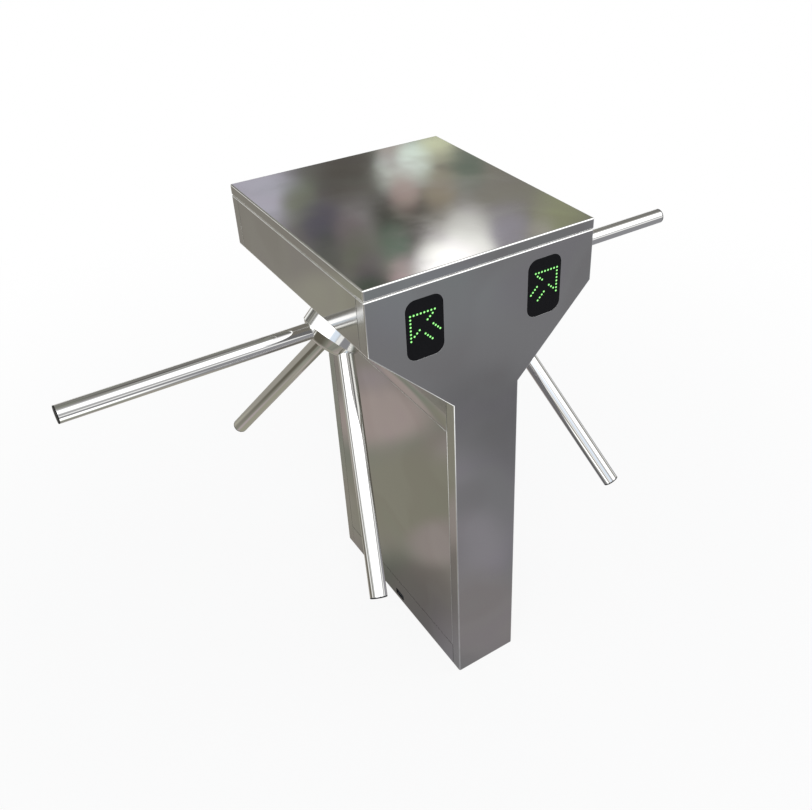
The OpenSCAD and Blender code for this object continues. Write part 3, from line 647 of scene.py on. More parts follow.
BRASS = Metal(
    "gear_brass", "brass_gear", (0.72, 0.52, 0.22), (0.22, 0.34),
    grain=Grain.CAST, tone=0.08, shine=(0.9, 0.74, 0.42),
)
FRAME_PAINT = Coating(
    "frame_paint", "frame_steel", (0.09, 0.095, 0.10), (0.45, 0.6),
    lines=(400.0, 400.0, 400.0), fade=(0.25, 0.25, 0.26),
)
RUBBER = Coating(
    "plug_rubber_skin", "plug_rubber", (0.012, 0.012, 0.012), (0.5, 0.65),
    fade=(0.07, 0.07, 0.07), specular=0.3,
)
BLACK_PLASTIC = Coating(
    "black_plastic_skin", "black_plastic", (0.02, 0.02, 0.022), (0.35, 0.5), fade=(0.1, 0.1, 0.1)
)
NYLON = Coating("pinion_nylon", "nylon", (0.75, 0.73, 0.66), (0.35, 0.5), fade=(0.55, 0.5, 0.4))
WINDOW = Coating(
    "smoked_acrylic", "smoked_window", (0.006, 0.006, 0.007), (0.10, 0.2),
    lines=(60.0, 60.0, 60.0), relief=0.005 * MM, fade=(0.012, 0.012, 0.013), specular=0.14,
)
LAMP = LampLens("lamp_lens", "lamp_green", (0.50, 1.0, 0.36), (0.18, 0.26), glow=1.1)
BOARD = BoardLacquer(
    "board_lacquer", "circuit_board", (0.008, 0.075, 0.022), (0.2, 0.35),
    turn_angles=(math.radians(90), 0.0, 0.0),
)


SEAM = 0.001 * MM
FLAT_ANGLE = math.radians(0.2)
CORNER_ANGLE = math.radians(30)
TURNED_ANGLE = math.radians(40)
HEXAGON_TURN = math.radians(60)
BEND_STEPS = 5
RIM_STEPS = 2


def new_object(name: str, mesh: Mesh) -> Object:
    """Adds an object at the origin for a mesh that is in place.

    Args:
        name: The object's name.
        mesh: Its mesh.

    Returns:
        The object.
    """
    made = bpy.data.objects.new(name, mesh)
    bpy.context.scene.collection.objects.link(made)
    return made


def as_mesh(name: str, body: BMesh) -> Mesh:
    """Turns a bmesh into a mesh.

    Args:
        name: The mesh's name.
        body: The bmesh, which is freed.

    Returns:
        The mesh.
    """
    mesh = bpy.data.meshes.new(name)
    body.to_mesh(mesh)
    body.free()
    return mesh


def baked(piece: Object) -> Mesh:
    """Takes the mesh that an object's modifiers leave, and removes the object.

    Args:
        piece: The object.

    Returns:
        The plain mesh, under the object's name.
    """
    graph = bpy.context.evaluated_depsgraph_get()
    live = piece.evaluated_get(graph)
    mesh = bpy.data.meshes.new_from_object(live, preserve_all_data_layers=True, depsgraph=graph)
    old, name = piece.data, piece.name
    bpy.data.objects.remove(piece)
    if old.users == 0:
        bpy.data.meshes.remove(old)
    mesh.name = name
    return mesh


def shaded(name: str, body: BMesh, sharp: float = CORNER_ANGLE) -> Mesh:
    """Turns a bmesh into a mesh with flat faces kept flat and rounded ones smooth.

    Args:
        name: The mesh's name.
        body: The bmesh, which is freed.
        sharp: The angle from which an edge stays sharp.

    Returns:
        The shaded mesh.
    """
    mesh = as_mesh(name, body)
    mesh.shade_smooth()
    mesh.set_sharp_from_angle(angle=sharp)
    holder = new_object(name, mesh)
    normals = holder.modifiers.new("flat_faces", "WEIGHTED_NORMAL")
    normals.keep_sharp = True
    normals.weight = 50
    return baked(holder)


def add_piece(name: str, mesh: Mesh, body: str, finish: Finish) -> Object:
    """Adds one finished piece of the turnstile.

    Args:
        name: The piece's name.
        mesh: Its mesh, in place.
        body: The CAD body that it rides on.
        finish: What it is made of.

    Returns:
        The piece.
    """
    mesh.materials.clear()
    mesh.materials.append(finish.material())
    made = new_object(name, mesh)
    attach(made, body)
    log.info("%s: %d faces on %s in %s", name, len(mesh.polygons), body, finish.name)
    return made


def face_width(face: BMFace) -> float:
    """About how wide a long face is."""
    return 2 * face.calc_area() / face.calc_perimeter()


def outer_corners(body: BMesh, wide: float = 0.0) -> list[BMEdge]:
    """Finds the edges that stick out.

    Args:
        body: The bmesh.
        wide: How wide both faces of an edge have to be, or 0 for any width.

    Returns:
        The edges.
    """
    found = [e for e in body.edges if len(e.link_faces) == 2 and e.is_convex]
    found = [e for e in found if e.calc_face_angle(0.0) > CORNER_ANGLE]
    if wide:
        found = [e for e in found if min(face_width(face) for face in e.link_faces) > wide]
    return found


def cut(body: BMesh, place: Iterable[float], way: Iterable[float], seam: float = SEAM) -> None:
    """Cuts every face of a bmesh along a plane through a place, and leaves the bmesh whole."""
    geometry = [*body.verts, *body.edges, *body.faces]
    bmesh.ops.bisect_plane(body, geom=geometry, plane_co=place, plane_no=way, dist=seam)


def merged(node: str) -> BMesh:
    """Copies a CAD node's mesh with its loose triangles joined into whole faces.

    Args:
        node: The CAD node.

    Returns:
        The copy.
    """
    body = bmesh.new()
    body.from_mesh(frame["nodes"][node].data)
    bmesh.ops.remove_doubles(body, verts=body.verts, dist=2 * SEAM)
    bmesh.ops.dissolve_limit(body, angle_limit=FLAT_ANGLE, verts=body.verts, edges=body.edges)
    return body


def rounded_copy(node: str, bend: float, rim: float, wide: float = 4 * MM) -> BMesh:
    """Copies a CAD node's shape with its bends and rims rounded.

    Args:
        node: The CAD node.
        bend: Outer radius where two wide faces meet, or 0 for none.
        rim: Radius on every other outer edge, or 0 for none.
        wide: How wide both faces are where an edge counts as a bend.

    Returns:
        The rounded bmesh, with its rounded faces marked.
    """
    body = merged(node)
    mark = body.faces.layers.float.new(Mark.BEND.value)
    for radius, steps, width in ((bend, BEND_STEPS, wide), (rim, RIM_STEPS, 0.0)):
        if radius:
            edges = outer_corners(body, width)
            how = {"segments": steps, "profile": 0.5, "affect": "EDGES", "clamp_overlap": True}
            made = bmesh.ops.bevel(body, geom=edges, offset=radius, **how)
            for face in made["faces"]:
                face[mark] = 1.0
    bmesh.ops.dissolve_degenerate(body, edges=body.edges, dist=SEAM)
    return body


def stand_in(node: str, body: BMesh, finish: Finish) -> None:
    """Puts a shape, whose bmesh is freed, in a CAD node's place."""
    name = f"{node}_finished"
    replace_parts(add_piece(name, shaded(name, body), frame["nodes"][node]["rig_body"], finish), node)


def refine(
    node: str,
    finish: Finish,
    bend: float = 0.0,
    rim: float = 0.3 * MM,
    reshape: Callable[[BMesh], None] | None = None,
) -> None:
    """Replaces a CAD node by a rounded copy of itself in a finish.

    Args:
        node: The CAD node.
        finish: What it is made of.
        bend: Outer radius where two wide faces meet, or 0 for none.
        rim: Radius on every other outer edge, or 0 for none.
        reshape: What else is done to its bmesh.
    """
    body = rounded_copy(node, bend, rim)
    if reshape:
        reshape(body)
    stand_in(node, body, finish)


def parted(body: BMesh, apart: Callable[[Vector], bool]) -> tuple[BMesh, BMesh]:
    """Splits a solid in two closed ones.

    Args:
        body: The solid's bmesh, which becomes the first of the two.
        apart: Says of a face's middle whether it belongs to the second.

    Returns:
        What stays, and what comes off.
    """
    other = body.copy()
    for part, wanted in ((body, False), (other, True)):
        loose = [face for face in part.faces if apart(face.calc_center_median()) != wanted]
        bmesh.ops.delete(part, geom=loose, context="FACES")
        bmesh.ops.holes_fill(part, edges=[edge for edge in part.edges if edge.is_boundary])
        bmesh.ops.recalc_face_normals(part, faces=part.faces)
    return body, other


def in_row(width: float, count: int) -> list[float]:
    """The middles of equal shares of a width that is centred on 0."""
    return [width * ((i + 0.5) / count - 0.5) for i in range(count)]


def separate_solids(body: BMesh) -> list[list[Vector]]:
    """Sorts a bmesh's points by the separate solids that they belong to.

    Args:
        body: The bmesh.

    Returns:
        The places of each solid's points.
    """
    body.verts.index_update()
    seen: set[int] = set()
    found = []
    for start in body.verts:
        if start.index in seen:
            continue
        seen.add(start.index)
        solid = [start]
        for vert in solid:
            near = [other for edge in vert.link_edges if (other := edge.other_vert(vert)).index not in seen]
            seen.update(other.index for other in near)
            solid.extend(near)
        found.append([vert.co.copy() for vert in solid])
    return found


def lathe(name: str, profile: list[Triple], steps: int, hexagons: tuple[int, ...] = ()) -> Mesh:
    """Turns a profile round the Z axis.

    Args:
        name: The mesh's name.
        profile: Radius, height and core value of each ring, with a radius of 0 at a pole.
        steps: How many steps go round.
        hexagons: Which rings are hexagons of that width across the flats.

    Returns:
        A closed, smooth mesh with its core values kept at its points.
    """
    body = bmesh.new()
    core = body.verts.layers.float.new(Mark.CORE.value)
    rings = []
    for index, (radius, height, value) in enumerate(profile):
        ring = []
        for i in range(steps if radius else 1):
            turn = 2 * math.pi * i / steps
            reach = radius
            if index in hexagons:
                reach /= math.cos(turn % HEXAGON_TURN - HEXAGON_TURN / 2)
            vert = body.verts.new((reach * math.cos(turn), reach * math.sin(turn), height))
            vert[core] = value
            ring.append(vert)
        rings.append(ring)
    for one, two in zip(rings, rings[1:]):
        for i in range(steps):
            corners = [one[i % len(one)], one[(i + 1) % len(one)], two[(i + 1) % len(two)], two[i % len(two)]]
            body.faces.new(list(dict.fromkeys(corners)))
    bmesh.ops.recalc_face_normals(body, faces=body.faces)
    return shaded(name, body, TURNED_ANGLE)


def spread_tree() -> NodeTree:
    """Builds the geometry tree that puts an item at every point of a mesh, with its Z along the point's way.

    Returns:
        The tree, which is built once.
    """
    tree = bpy.data.node_groups.get("spread_over_points")
    if tree is not None:
        return tree
    tree = bpy.data.node_groups.new("spread_over_points", "GeometryNodeTree")
    for name, direction, kind in (
        ("Geometry", "INPUT", "NodeSocketGeometry"),
        ("Item", "INPUT", "NodeSocketObject"),
        ("Size", "INPUT", "NodeSocketFloat"),
        ("Finish", "INPUT", "NodeSocketMaterial"),
        ("Geometry", "OUTPUT", "NodeSocketGeometry"),
    ):
        tree.interface.new_socket(name, in_out=direction, socket_type=kind)
    build = Tree(tree)
    given = build.add("NodeGroupInput").outputs
    item = build.add("GeometryNodeObjectInfo", {"Object": given["Item"]}).outputs["Geometry"]
    way = build.first("GeometryNodeInputNamedAttribute", {"Name": Mark.WAY.value}, data_type="FLOAT_VECTOR")
    turn = build.first("FunctionNodeAlignRotationToVector", {"Vector": way}, axis="Z")
    inputs = {"Points": given["Geometry"], "Instance": item, "Rotation": turn, "Scale": given["Size"]}
    placed = build.first("GeometryNodeInstanceOnPoints", inputs)
    real = build.first("GeometryNodeRealizeInstances", {0: placed})
    done = build.first("GeometryNodeSetMaterial", {"Geometry": real, "Material": given["Finish"]})
    build.add("NodeGroupOutput", {0: done})
    return tree


def grow(name: str, start: Mesh, tree: NodeTree, inputs: dict[str, object]) -> Mesh:
    """Runs a geometry tree on a mesh.

    Args:
        name: The new mesh's name.
        start: The mesh that the tree is given.
        tree: The geometry tree.
        inputs: The tree's other inputs, by name.

    Returns:
        The plain mesh that comes out.
    """
    holder = new_object(name, start)
    modifier = holder.modifiers.new("pattern", "NODES")
    modifier.node_group = tree
    for item in tree.interface.items_tree:
        if item.item_type == "SOCKET" and item.in_out == "INPUT" and item.name in inputs:
            modifier[item.identifier] = inputs[item.name]
    return baked(holder)


def spread(name: str, item: Mesh, places: list[Vector], way: Vector, body: str, finish: Finish) -> Object:
    """Adds one piece made of copies of an item.

    Args:
        name: The piece's name.
        item: The item's mesh, with its seat at the origin and its top along +Z.
        places: Where each copy sits.
        way: Which way their tops point.
        body: The CAD body that the piece rides on.
        finish: What they are made of.

    Returns:
        The piece.
    """
    template = new_object(f"{name}_item", item)
    points = bpy.data.meshes.new(f"{name}_points")
    points.from_pydata([tuple(place) for place in places], [], [])
    ways = points.attributes.new(Mark.WAY.value, "FLOAT_VECTOR", "POINT")
    ways.data.foreach_set("vector", [part for _ in places for part in way])
    mesh = grow(name, points, spread_tree(), {"Item": template, "Size": 1.0, "Finish": finish.material()})
    bpy.data.objects.remove(template)
    return add_piece(name, mesh, body, finish)


@dataclass(frozen=True)
class Axis:
    """The line that a joint turns about."""

    middle: Vector
    way: Vector

    @classmethod
    def of(cls, joint: str) -> "Axis":
        """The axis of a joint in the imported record."""
        row = next(row for row in frame["joints"] if row["name"] == joint)
        return cls(Vector(row["pos_m"]), Vector(row["axis"]).normalized())

    def height(self, place: Vector) -> float:
        """How far along the axis a place is."""
        return (place - self.middle).dot(self.way)

    def outward(self, place: Vector) -> Vector:
        """The vector from the axis to a place."""
        return place - self.middle - self.height(place) * self.way


@dataclass
class Housing:
    """The folded stainless sheets, the doors and the lid, with the frame that they sit on."""

    bend: float = 2.4 * MM
    lid_bend: float = 2.8 * MM
    curl: float = 2.6 * MM
    curl_steps: int = 5
    rim: float = 0.35 * MM
    door_rim: float = 0.7 * MM
    frame_rim: float = 0.5 * MM
    lock_rim: float = 0.25 * MM

    def curl_top(self, body: BMesh) -> None:
        """Rolls the top rim of a folded end panel inwards, as the press brake leaves it.

        Args:
            body: The panel, whose face lies on its lowest or highest Y.
        """
        top = max(v.co.z for v in body.verts)
        wide = max(v.co.x for v in body.verts)
        face_y = max((v.co.y for v in body.verts), key=abs)
        deep = max(abs(v.co.y - face_y) for v in body.verts)
        start = top - self.curl
        for step in range(self.curl_steps + 1):
            turn = math.radians(90) * step / (self.curl_steps + 1)
            cut(body, (0, 0, start + self.curl * math.sin(turn)), (0, 0, 1))
        for vert in body.verts:
            rise = max(0.0, vert.co.z - start)
            inward = self.curl - math.sqrt(max(0.0, self.curl**2 - rise**2))
            depth_share = 1.0 - abs(vert.co.y - face_y) / deep
            vert.co.x *= 1.0 - inward / wide
            vert.co.y -= math.copysign(inward * depth_share, face_y)

    def sheets(self) -> None:
        """Rounds every sheet's bends and rims."""
        for node in ("front_panel", "rear_panel"):
            refine(node, FRONT_STEEL, self.bend, self.rim, self.curl_top)
        for node in ("left_side_sheet", "right_side_sheet"):
            refine(node, SIDE_STEEL, self.bend, self.rim)
        for node in ("plinth_strips", "left_door", "right_door"):
            refine(node, SIDE_STEEL, rim=self.door_rim)
        refine("lid", LID_STEEL, self.lid_bend, self.rim)

    def inner_frame(self) -> None:
        """Dresses the painted frames, rails and base plate."""
        for node in ("front_frame", "rear_frame", "cross_rails", "base_plate"):
            refine(node, FRAME_PAINT, rim=self.frame_rim)
        refine("equipment_plate", ZINC)

    def lid_hardware(self) -> None:
        """Dresses the hinges and the lock."""
        for node in ("lid_hinge_leaves", "lid_hinge_straps"):
            refine(node, ZINC, rim=self.lock_rim)
        refine("lid_lock_barrel", GROUND_STEEL, rim=self.lock_rim)
        refine("lid_lock_cam", BRASS, rim=self.lock_rim)

    def build(self) -> None:
        """Builds the housing's pieces."""
        self.sheets()
        self.inner_frame()
        self.lid_hardware()


@dataclass
class Rotor:
    """One three-arm rotor with its hub, tubes, plugs and the shaft parts behind it."""

    side: Side
    rim: float = 0.6 * MM
    plug_rim: float = 0.9 * MM
    shaft_rim: float = 0.4 * MM
    gear_rim: float = 0.2 * MM
    pinion_rim: float = 0.15 * MM
    nose_radius: float = 26 * MM
    nose_turn: float = math.radians(45)
    nose_steps: int = 6

    def axis(self) -> Axis:
        """The line that the rotor turns about."""
        return Axis.of(f"{self.side.value}_rotor_turn")

    def centred(self, finish: Metal) -> Metal:
        """Centres a turned finish on this rotor's axis.

        Args:
            finish: The finish.

        Returns:
            The rotor's own finish.
        """
        axis = self.axis()
        angles = tuple(axis.way.to_track_quat("Z", "Y").to_euler())
        name = f"{self.side.value}_{finish.name}"
        return replace(finish, name=name, turn_place=tuple(axis.middle), turn_angles=angles)

    def dome_nose(self, body: BMesh) -> None:
        """Rounds the hub from its tapered nose into its flat end.

        Args:
            body: The hub's bmesh, which is changed.
        """
        axis = self.axis()
        top = max(axis.height(vert.co) for vert in body.verts)
        flat = self.rim / 20
        ends = [face for face in body.faces if top - axis.height(face.calc_center_median()) <= flat]
        end = max(ends, key=lambda face: face.calc_area())
        edge = max(axis.outward(vert.co).length for vert in end.verts)
        leg = self.nose_radius * math.tan(self.nose_turn / 2)
        for i in range(self.nose_steps):
            below = leg * math.sin(self.nose_turn) * (1 - i / self.nose_steps)
            cut(body, axis.middle + (top - below) * axis.way, axis.way)
        for _ in range(self.nose_steps):
            bmesh.ops.inset_region(body, faces=[end], thickness=leg / self.nose_steps, use_even_offset=True)
        core_out, core_up = edge - leg, top - self.nose_radius
        for vert in body.verts:
            way = axis.outward(vert.co)
            out, up = way.length - core_out, axis.height(vert.co) - core_up
            far = math.hypot(out, up)
            if far > self.nose_radius and self.nose_turn <= math.atan2(up, out) <= math.pi / 2:
                share = self.nose_radius / far
                height, reach = core_up + up * share, core_out + out * share
                vert.co = axis.middle + height * axis.way + way.normalized() * reach

    def build(self) -> None:
        """Builds the rotor's pieces."""
        word = self.side.value
        refine(f"{word}_hub", self.centred(HUB_STEEL), rim=self.rim, reshape=self.dome_nose)
        for arm in ("side", "front", "rear"):
            refine(f"{word}_arm_{arm}", CHROME, rim=self.rim)
        refine(f"{word}_arm_plugs", RUBBER, rim=self.plug_rim)
        refine(f"{word}_shaft", self.centred(SHAFT_STEEL), rim=self.shaft_rim)
        refine(f"{word}_index_disc", self.centred(DISC_STEEL), rim=self.shaft_rim)
        refine(f"{word}_rotor_gear", BRASS, rim=self.gear_rim)
        refine(f"{word}_damper_pinion", NYLON, rim=self.pinion_rim)


@dataclass
class Mechanism:
    """The plates, bearings, solenoids, pawls and dampers on both slopes."""

    plate_rim: float = 0.4 * MM
    cast_rim: float = 0.6 * MM
    small_rim: float = 0.3 * MM
    coil_rim: float = 0.5 * MM

    def build(self) -> None:
        """Dresses the mechanism's nodes."""
        refine("mechanism_plates", ZINC, rim=self.plate_rim)
        refine("bearing_housings", CAST_IRON, rim=self.cast_rim)
        refine("shaft_bearings", GROUND_STEEL, rim=self.small_rim)
        for node in ("solenoids", "rotary_dampers"):
            refine(node, BLACK_OXIDE, rim=self.coil_rim)
        refine("mechanism_screws", BLACK_OXIDE, rim=self.small_rim)
        for node in ("solenoid_brackets", "damper_brackets", "pawl_posts"):
            refine(node, ZINC, rim=self.small_rim)
        refine("position_sensors", BLACK_PLASTIC, rim=self.plate_rim)
        for side in Side:
            for end in ("front", "rear"):
                refine(f"{side.value}_{end}_pawl", PAWL_STEEL, rim=self.plate_rim)
                refine(f"{side.value}_{end}_plunger", GROUND_STEEL, rim=self.small_rim)


@dataclass
class Screws:
    """Button-head screws with hexagon sockets, on the hinges and the electronics."""

    head: float = 2.6 * MM
    height: float = 1.2 * MM
    socket: float = 1.1 * MM
    deep: float = 0.9 * MM
    steps: int = 24
    crown_shares: tuple[Pair, ...] = ((0.62, 0.96), (0.88, 0.68), (1.0, 0.22), (1.0, 0.0))
    hinge_shares: Row = (-0.34, 0.0, 0.34)
    leaf_share: float = 0.32
    strap_share: float = 0.70
    board_inset: float = 5 * MM
    outside: float = 0.2

    def item(self) -> Mesh:
        """Makes one screw head that sits on the origin.

        Returns:
            Its mesh.
        """
        floor = self.height - self.deep
        socket = [(0.0, floor, 0.0), (self.socket, floor, 0.0), (self.socket, self.height, 0.0)]
        crown = [(out * self.head, up * self.height, 0.0) for out, up in self.crown_shares]
        return lathe("screw_head", [*socket, *crown, ORIGIN], self.steps, hexagons=(1, 2))

    def put(self, name: str, node: str, places: Iterable[Triple], way: Vector, finish: Finish) -> None:
        """Puts screws where rays from outside meet a CAD node.

        Args:
            name: The piece's name.
            node: The CAD node.
            places: A place on each ray.
            way: Which way the screws' heads point, against the rays.
            finish: What the screws are made of.
        """
        mesh = frame["nodes"][node].data
        tree = BVHTree.FromPolygons([v.co for v in mesh.vertices], [p.vertices for p in mesh.polygons])
        spots = (tree.ray_cast(Vector(place) + self.outside * way, -way)[0] for place in places)
        seats = [spot for spot in spots if spot is not None]
        spread(name, self.item(), seats, way, frame["nodes"][node]["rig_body"], finish)

    def hinges(self) -> None:
        """Puts three screws in each hinge leaf and strap."""
        inner = min(abs(v.co.x) for v in frame["nodes"]["lid_hinge_leaves"].data.vertices)
        for name, node, share in (
            ("leaf_screws", "lid_hinge_leaves", self.leaf_share),
            ("strap_screws", "lid_hinge_straps", self.strap_share),
        ):
            low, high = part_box(node)
            height = low.z + share * (high.z - low.z)
            length, middle = high.x - inner, (high.x + inner) / 2
            places = [(s * middle + at * length, high.y, height) for s in (-1, 1) for at in self.hinge_shares]
            self.put(name, node, places, BACKWARD, GROUND_STEEL)

    def boards(self) -> None:
        """Puts one screw near each corner of the control board."""
        low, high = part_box("control_board")
        xs = (low.x + self.board_inset, high.x - self.board_inset)
        zs = (low.z + self.board_inset, high.z - self.board_inset)
        places = [(x, low.y, z) for x in xs for z in zs]
        self.put("board_screws", "control_board", places, FORWARD, ZINC)

    def build(self) -> None:
        """Builds every set of screws."""
        self.hinges()
        self.boards()


@dataclass
class Electronics:
    """The power supply, the boards and the wiring, with the small parts on them."""

    skin: float = 0.05 * MM
    seam: float = 0.01 * MM
    terminals: int = 6
    strip_height: float = 16 * MM
    strip_depth: float = 20 * MM
    louvre: Triple = (11 * MM, 1.8 * MM, 1.2 * MM)
    louvre_columns: Row = (-0.24, 0.24)
    louvre_shares: Pair = (0.12, 0.84)
    louvre_rows: int = 14
    louvre_turns: Row = (0.0, 0.5, 1.0)
    relay_height: float = 16 * MM
    connectors: int = 8
    connector_share: float = 2 / 3
    connector_drop: float = 24 * MM
    pin: Triple = (0.4 * MM, 1.6 * MM, 1.2 * MM)
    pin_turns: Row = (0.0, 0.8)
    pins: int = 22
    pin_rows: Row = (0.50, 0.75)
    chip_share: float = 0.5
    capacitor: Triple = (4.2 * MM, 4.2 * MM, 10 * MM)
    capacitor_turns: Row = (0.0, 0.4, 0.8, 1.2)
    capacitor_columns: Row = (-0.40, -0.31, 0.31, 0.40)
    capacitor_shares: Row = (0.50, 0.58, 0.66)
    boss_steps: int = 20
    boss_shoulder: float = 0.6

    def boss(self, name: str, half: Triple, turns: Row) -> Mesh:
        """Makes a round boss that stands on the origin.

        Args:
            name: The mesh's name.
            half: Its half sizes, and its height last.
            turns: The turns, in radians, at which its rim rounds over.

        Returns:
            The boss, closed and with its top along +Z.
        """
        low = self.boss_shoulder
        rim = [(math.cos(turn), low + (1 - low) * math.sin(turn), 0.0) for turn in reversed(turns)]
        mesh = lathe(name, [(0.0, 1.0, 0.0), *rim, (1.0, 0.0, 0.0), ORIGIN], self.boss_steps)
        mesh.transform(Matrix.Diagonal((*half, 1.0)))
        return mesh

    def case_and_strip(self) -> None:
        """Parts the power supply's case from its terminal strip, and gives the strip its screws."""
        low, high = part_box("power_supply")
        seam = high.z - self.strip_height
        whole = merged("power_supply")
        cut(whole, (0, 0, seam), (0, 0, 1), self.seam)
        case, strip = parted(whole, lambda middle: middle.z > seam + self.skin)
        stand_in("power_supply", case, SUPPLY_CASE)
        add_piece("supply_terminals", shaded("supply_terminals", strip), "housing", BLACK_PLASTIC)
        wide, row = high.x - low.x, high.y - self.strip_depth / 2
        heads = [Vector((x, row, high.z)) for x in in_row(wide, self.terminals)]
        spread("terminal_screws", Screws().item(), heads, UPWARD, "housing", ZINC)

    def louvres(self) -> None:
        """Puts rows of louvres on the front of the power supply's case."""
        low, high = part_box("power_supply")
        wide, tall = high.x - low.x, high.z - self.strip_height - low.z
        first, last = self.louvre_shares
        shares = [first + (last - first) * i / (self.louvre_rows - 1) for i in range(self.louvre_rows)]
        seats = [Vector((x * wide, low.y, low.z + at * tall)) for x in self.louvre_columns for at in shares]
        louvre = self.boss("louvre", self.louvre, self.louvre_turns)
        spread("supply_louvres", louvre, seats, FORWARD, "housing", SUPPLY_CASE)

    def board(self) -> None:
        """Builds the control board with its blocks, chip pins, capacitors and connector screws."""
        low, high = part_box("control_board")
        front = low.y + self.relay_height
        plate, blocks = parted(merged("control_board"), lambda middle: middle.y < front - self.skin)
        stand_in("control_board", plate, BOARD)
        add_piece("board_blocks", shaded("board_blocks", blocks), "housing", BLACK_PLASTIC)
        wide, tall = high.x - low.x, high.z - low.z
        across = in_row(self.chip_share * wide, self.pins)
        pins = [Vector((x, front, low.z + at * tall)) for x in across for at in self.pin_rows]
        pin = self.boss("pin", self.pin, self.pin_turns)
        spread("chip_pins", pin, pins, FORWARD, "housing", GROUND_STEEL)
        columns, rows = self.capacitor_columns, self.capacitor_shares
        cans = [Vector((x * wide, front, low.z + at * tall)) for x in columns for at in rows]
        can = self.boss("capacitor", self.capacitor, self.capacitor_turns)
        spread("board_capacitors", can, cans, FORWARD, "housing", BLACK_OXIDE)
        y, z = front - self.relay_height / 2, high.z - self.connector_drop
        heads = [Vector((x, y, z)) for x in in_row(self.connector_share * wide, self.connectors)]
        spread("connector_screws", Screws().item(), heads, FORWARD, "housing", ZINC)

    def build(self) -> None:
        """Builds the electronics' pieces."""
        self.case_and_strip()
        self.louvres()
        self.board()
        refine("lamp_boards", BOARD, rim=0.0)
        refine("wiring_loom", RUBBER, rim=0.0)


@dataclass
class Displays:
    """The two smoked windows with the lamps that make their arrows."""

    dome: float = 0.5 * MM
    lens_share: float = 0.92
    lens_steps: int = 14
    lens_rings: tuple[Triple, ...] = ((0.0, 1.0, 1.0), (0.45, 0.8, 0.9), (0.8, 0.35, 0.45), (1.0, -0.15, 0.0))

    def lamp_centres(self) -> list[Vector]:
        """Finds the middle of each lamp's front face from the lamps' own meshes.

        Returns:
            The places.
        """
        body = merged("arrow_lamps")
        centres = []
        for solid in separate_solids(body):
            low, high = ([pick(co[i] for co in solid) for i in range(3)] for pick in (min, max))
            centres.append(Vector(((low[0] + high[0]) / 2, low[1], (low[2] + high[2]) / 2)))
        body.free()
        return centres

    def lens(self, centres: list[Vector]) -> Mesh:
        """Makes one domed lamp lens with its rim at the origin's height.

        Args:
            centres: The middles of the lamps.

        Returns:
            The lens's mesh.
        """
        low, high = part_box("arrow_lamps")
        depth = high.y - low.y
        radius = self.lens_share * (min(centre.x for centre in centres) - low.x)
        dome = [(share * radius, rise * self.dome, core) for share, rise, core in self.lens_rings]
        return lathe("lamp_lens", [*dome, (radius, -depth, 0.0), (0.0, -depth, 0.0)], self.lens_steps)

    def build(self) -> None:
        """Builds the windows and the lamps."""
        refine("display_windows", WINDOW, rim=0.0)
        centres = self.lamp_centres()
        lamps = spread("arrow_lamp_lenses", self.lens(centres), centres, FORWARD, "housing", LAMP)
        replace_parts(lamps, "arrow_lamps")


@dataclass(frozen=True)
class SoftCard:
    """One soft patch of a reflecting card, by its direction from the middle of the studio."""

    azimuth: float
    elevation: float
    spread: float
    light: Colour

    def share(self, build: Tree, way: NodeSocket, outer: float, inner: float) -> NodeSocket:
        """How much of the patch shows along a way.

        Args:
            build: The cloth's tree.
            way: The way, as a unit vector.
            outer: The angle from the patch's middle, in degrees, where it begins to show.
            inner: The angle where all of it shows.

        Returns:
            The share.
        """
        a, e = math.radians(self.azimuth), math.radians(self.elevation)
        middle = (math.sin(a) * math.cos(e), math.cos(a) * math.cos(e), math.sin(e))
        least, full = (math.cos(math.radians(angle)) for angle in (outer, inner))
        return build.span(build.measure("DOT_PRODUCT", way, middle), least, full)


@dataclass(frozen=True)
class SoftSpot:
    """One soft patch on the cloth round the object's foot, in metres."""

    x: float
    y: float
    radius: float
    light: Colour

    def share(self, build: Tree, where: NodeSocket, core: float = 0.4) -> NodeSocket:
        """How much of the patch shows at a place: all of it inside its core, a share of its radius."""
        away = build.measure("LENGTH", build.vector("SUBTRACT", where, (self.x, self.y, 0.0)))
        return build.span(away, core * self.radius, self.radius, 1.0, 0.0)


@dataclass(frozen=True)
class SoftLamp:
    """One soft square lamp that looks at the object's middle and doesn't show in metal."""

    name: str
    place: Triple
    size: float
    power: float
    target: Triple = (0.0, 0.0, 0.6)

    def build(self) -> None:
        """Adds the lamp."""
        data = bpy.data.lights.new(self.name, "AREA")
        data.size, data.energy = self.size, self.power
        lamp = bpy.data.objects.new(self.name, data)
        lamp.location = self.place
        lamp.rotation_euler = (Vector(self.target) - Vector(self.place)).to_track_quat("-Z", "Y").to_euler()
        lamp.visible_glossy = False
        bpy.context.scene.collection.objects.link(lamp)


LAMPS = (
    SoftLamp("key_lamp", (-1.6, -2.6, 3.0), 2.4, 46.0),
    SoftLamp("fill_lamp", (2.8, -1.6, 1.8), 2.0, 16.0),
    SoftLamp("back_lamp", (0.8, 2.8, 2.4), 2.0, 16.0),
)
WALL_MOTTLE = (
    (0.30, (0.10, 0.095, 0.09)),
    (0.40, (0.20, 0.19, 0.19)),
    (0.47, (0.27, 0.29, 0.24)),
    (0.53, (0.22, 0.20, 0.20)),
    (0.60, (0.34, 0.33, 0.29)),
    (0.70, (0.55, 0.56, 0.56)),
)
FLOOR_COOL = ((0.35, (0.235, 0.235, 0.25)), (0.5, (0.29, 0.29, 0.31)), (0.65, (0.38, 0.365, 0.405)))
FLOOR_WARM = (
    (0.34, (0.25, 0.25, 0.22)),
    (0.45, (0.32, 0.33, 0.28)),
    (0.53, (0.36, 0.33, 0.30)),
    (0.64, (0.45, 0.39, 0.40)),
)
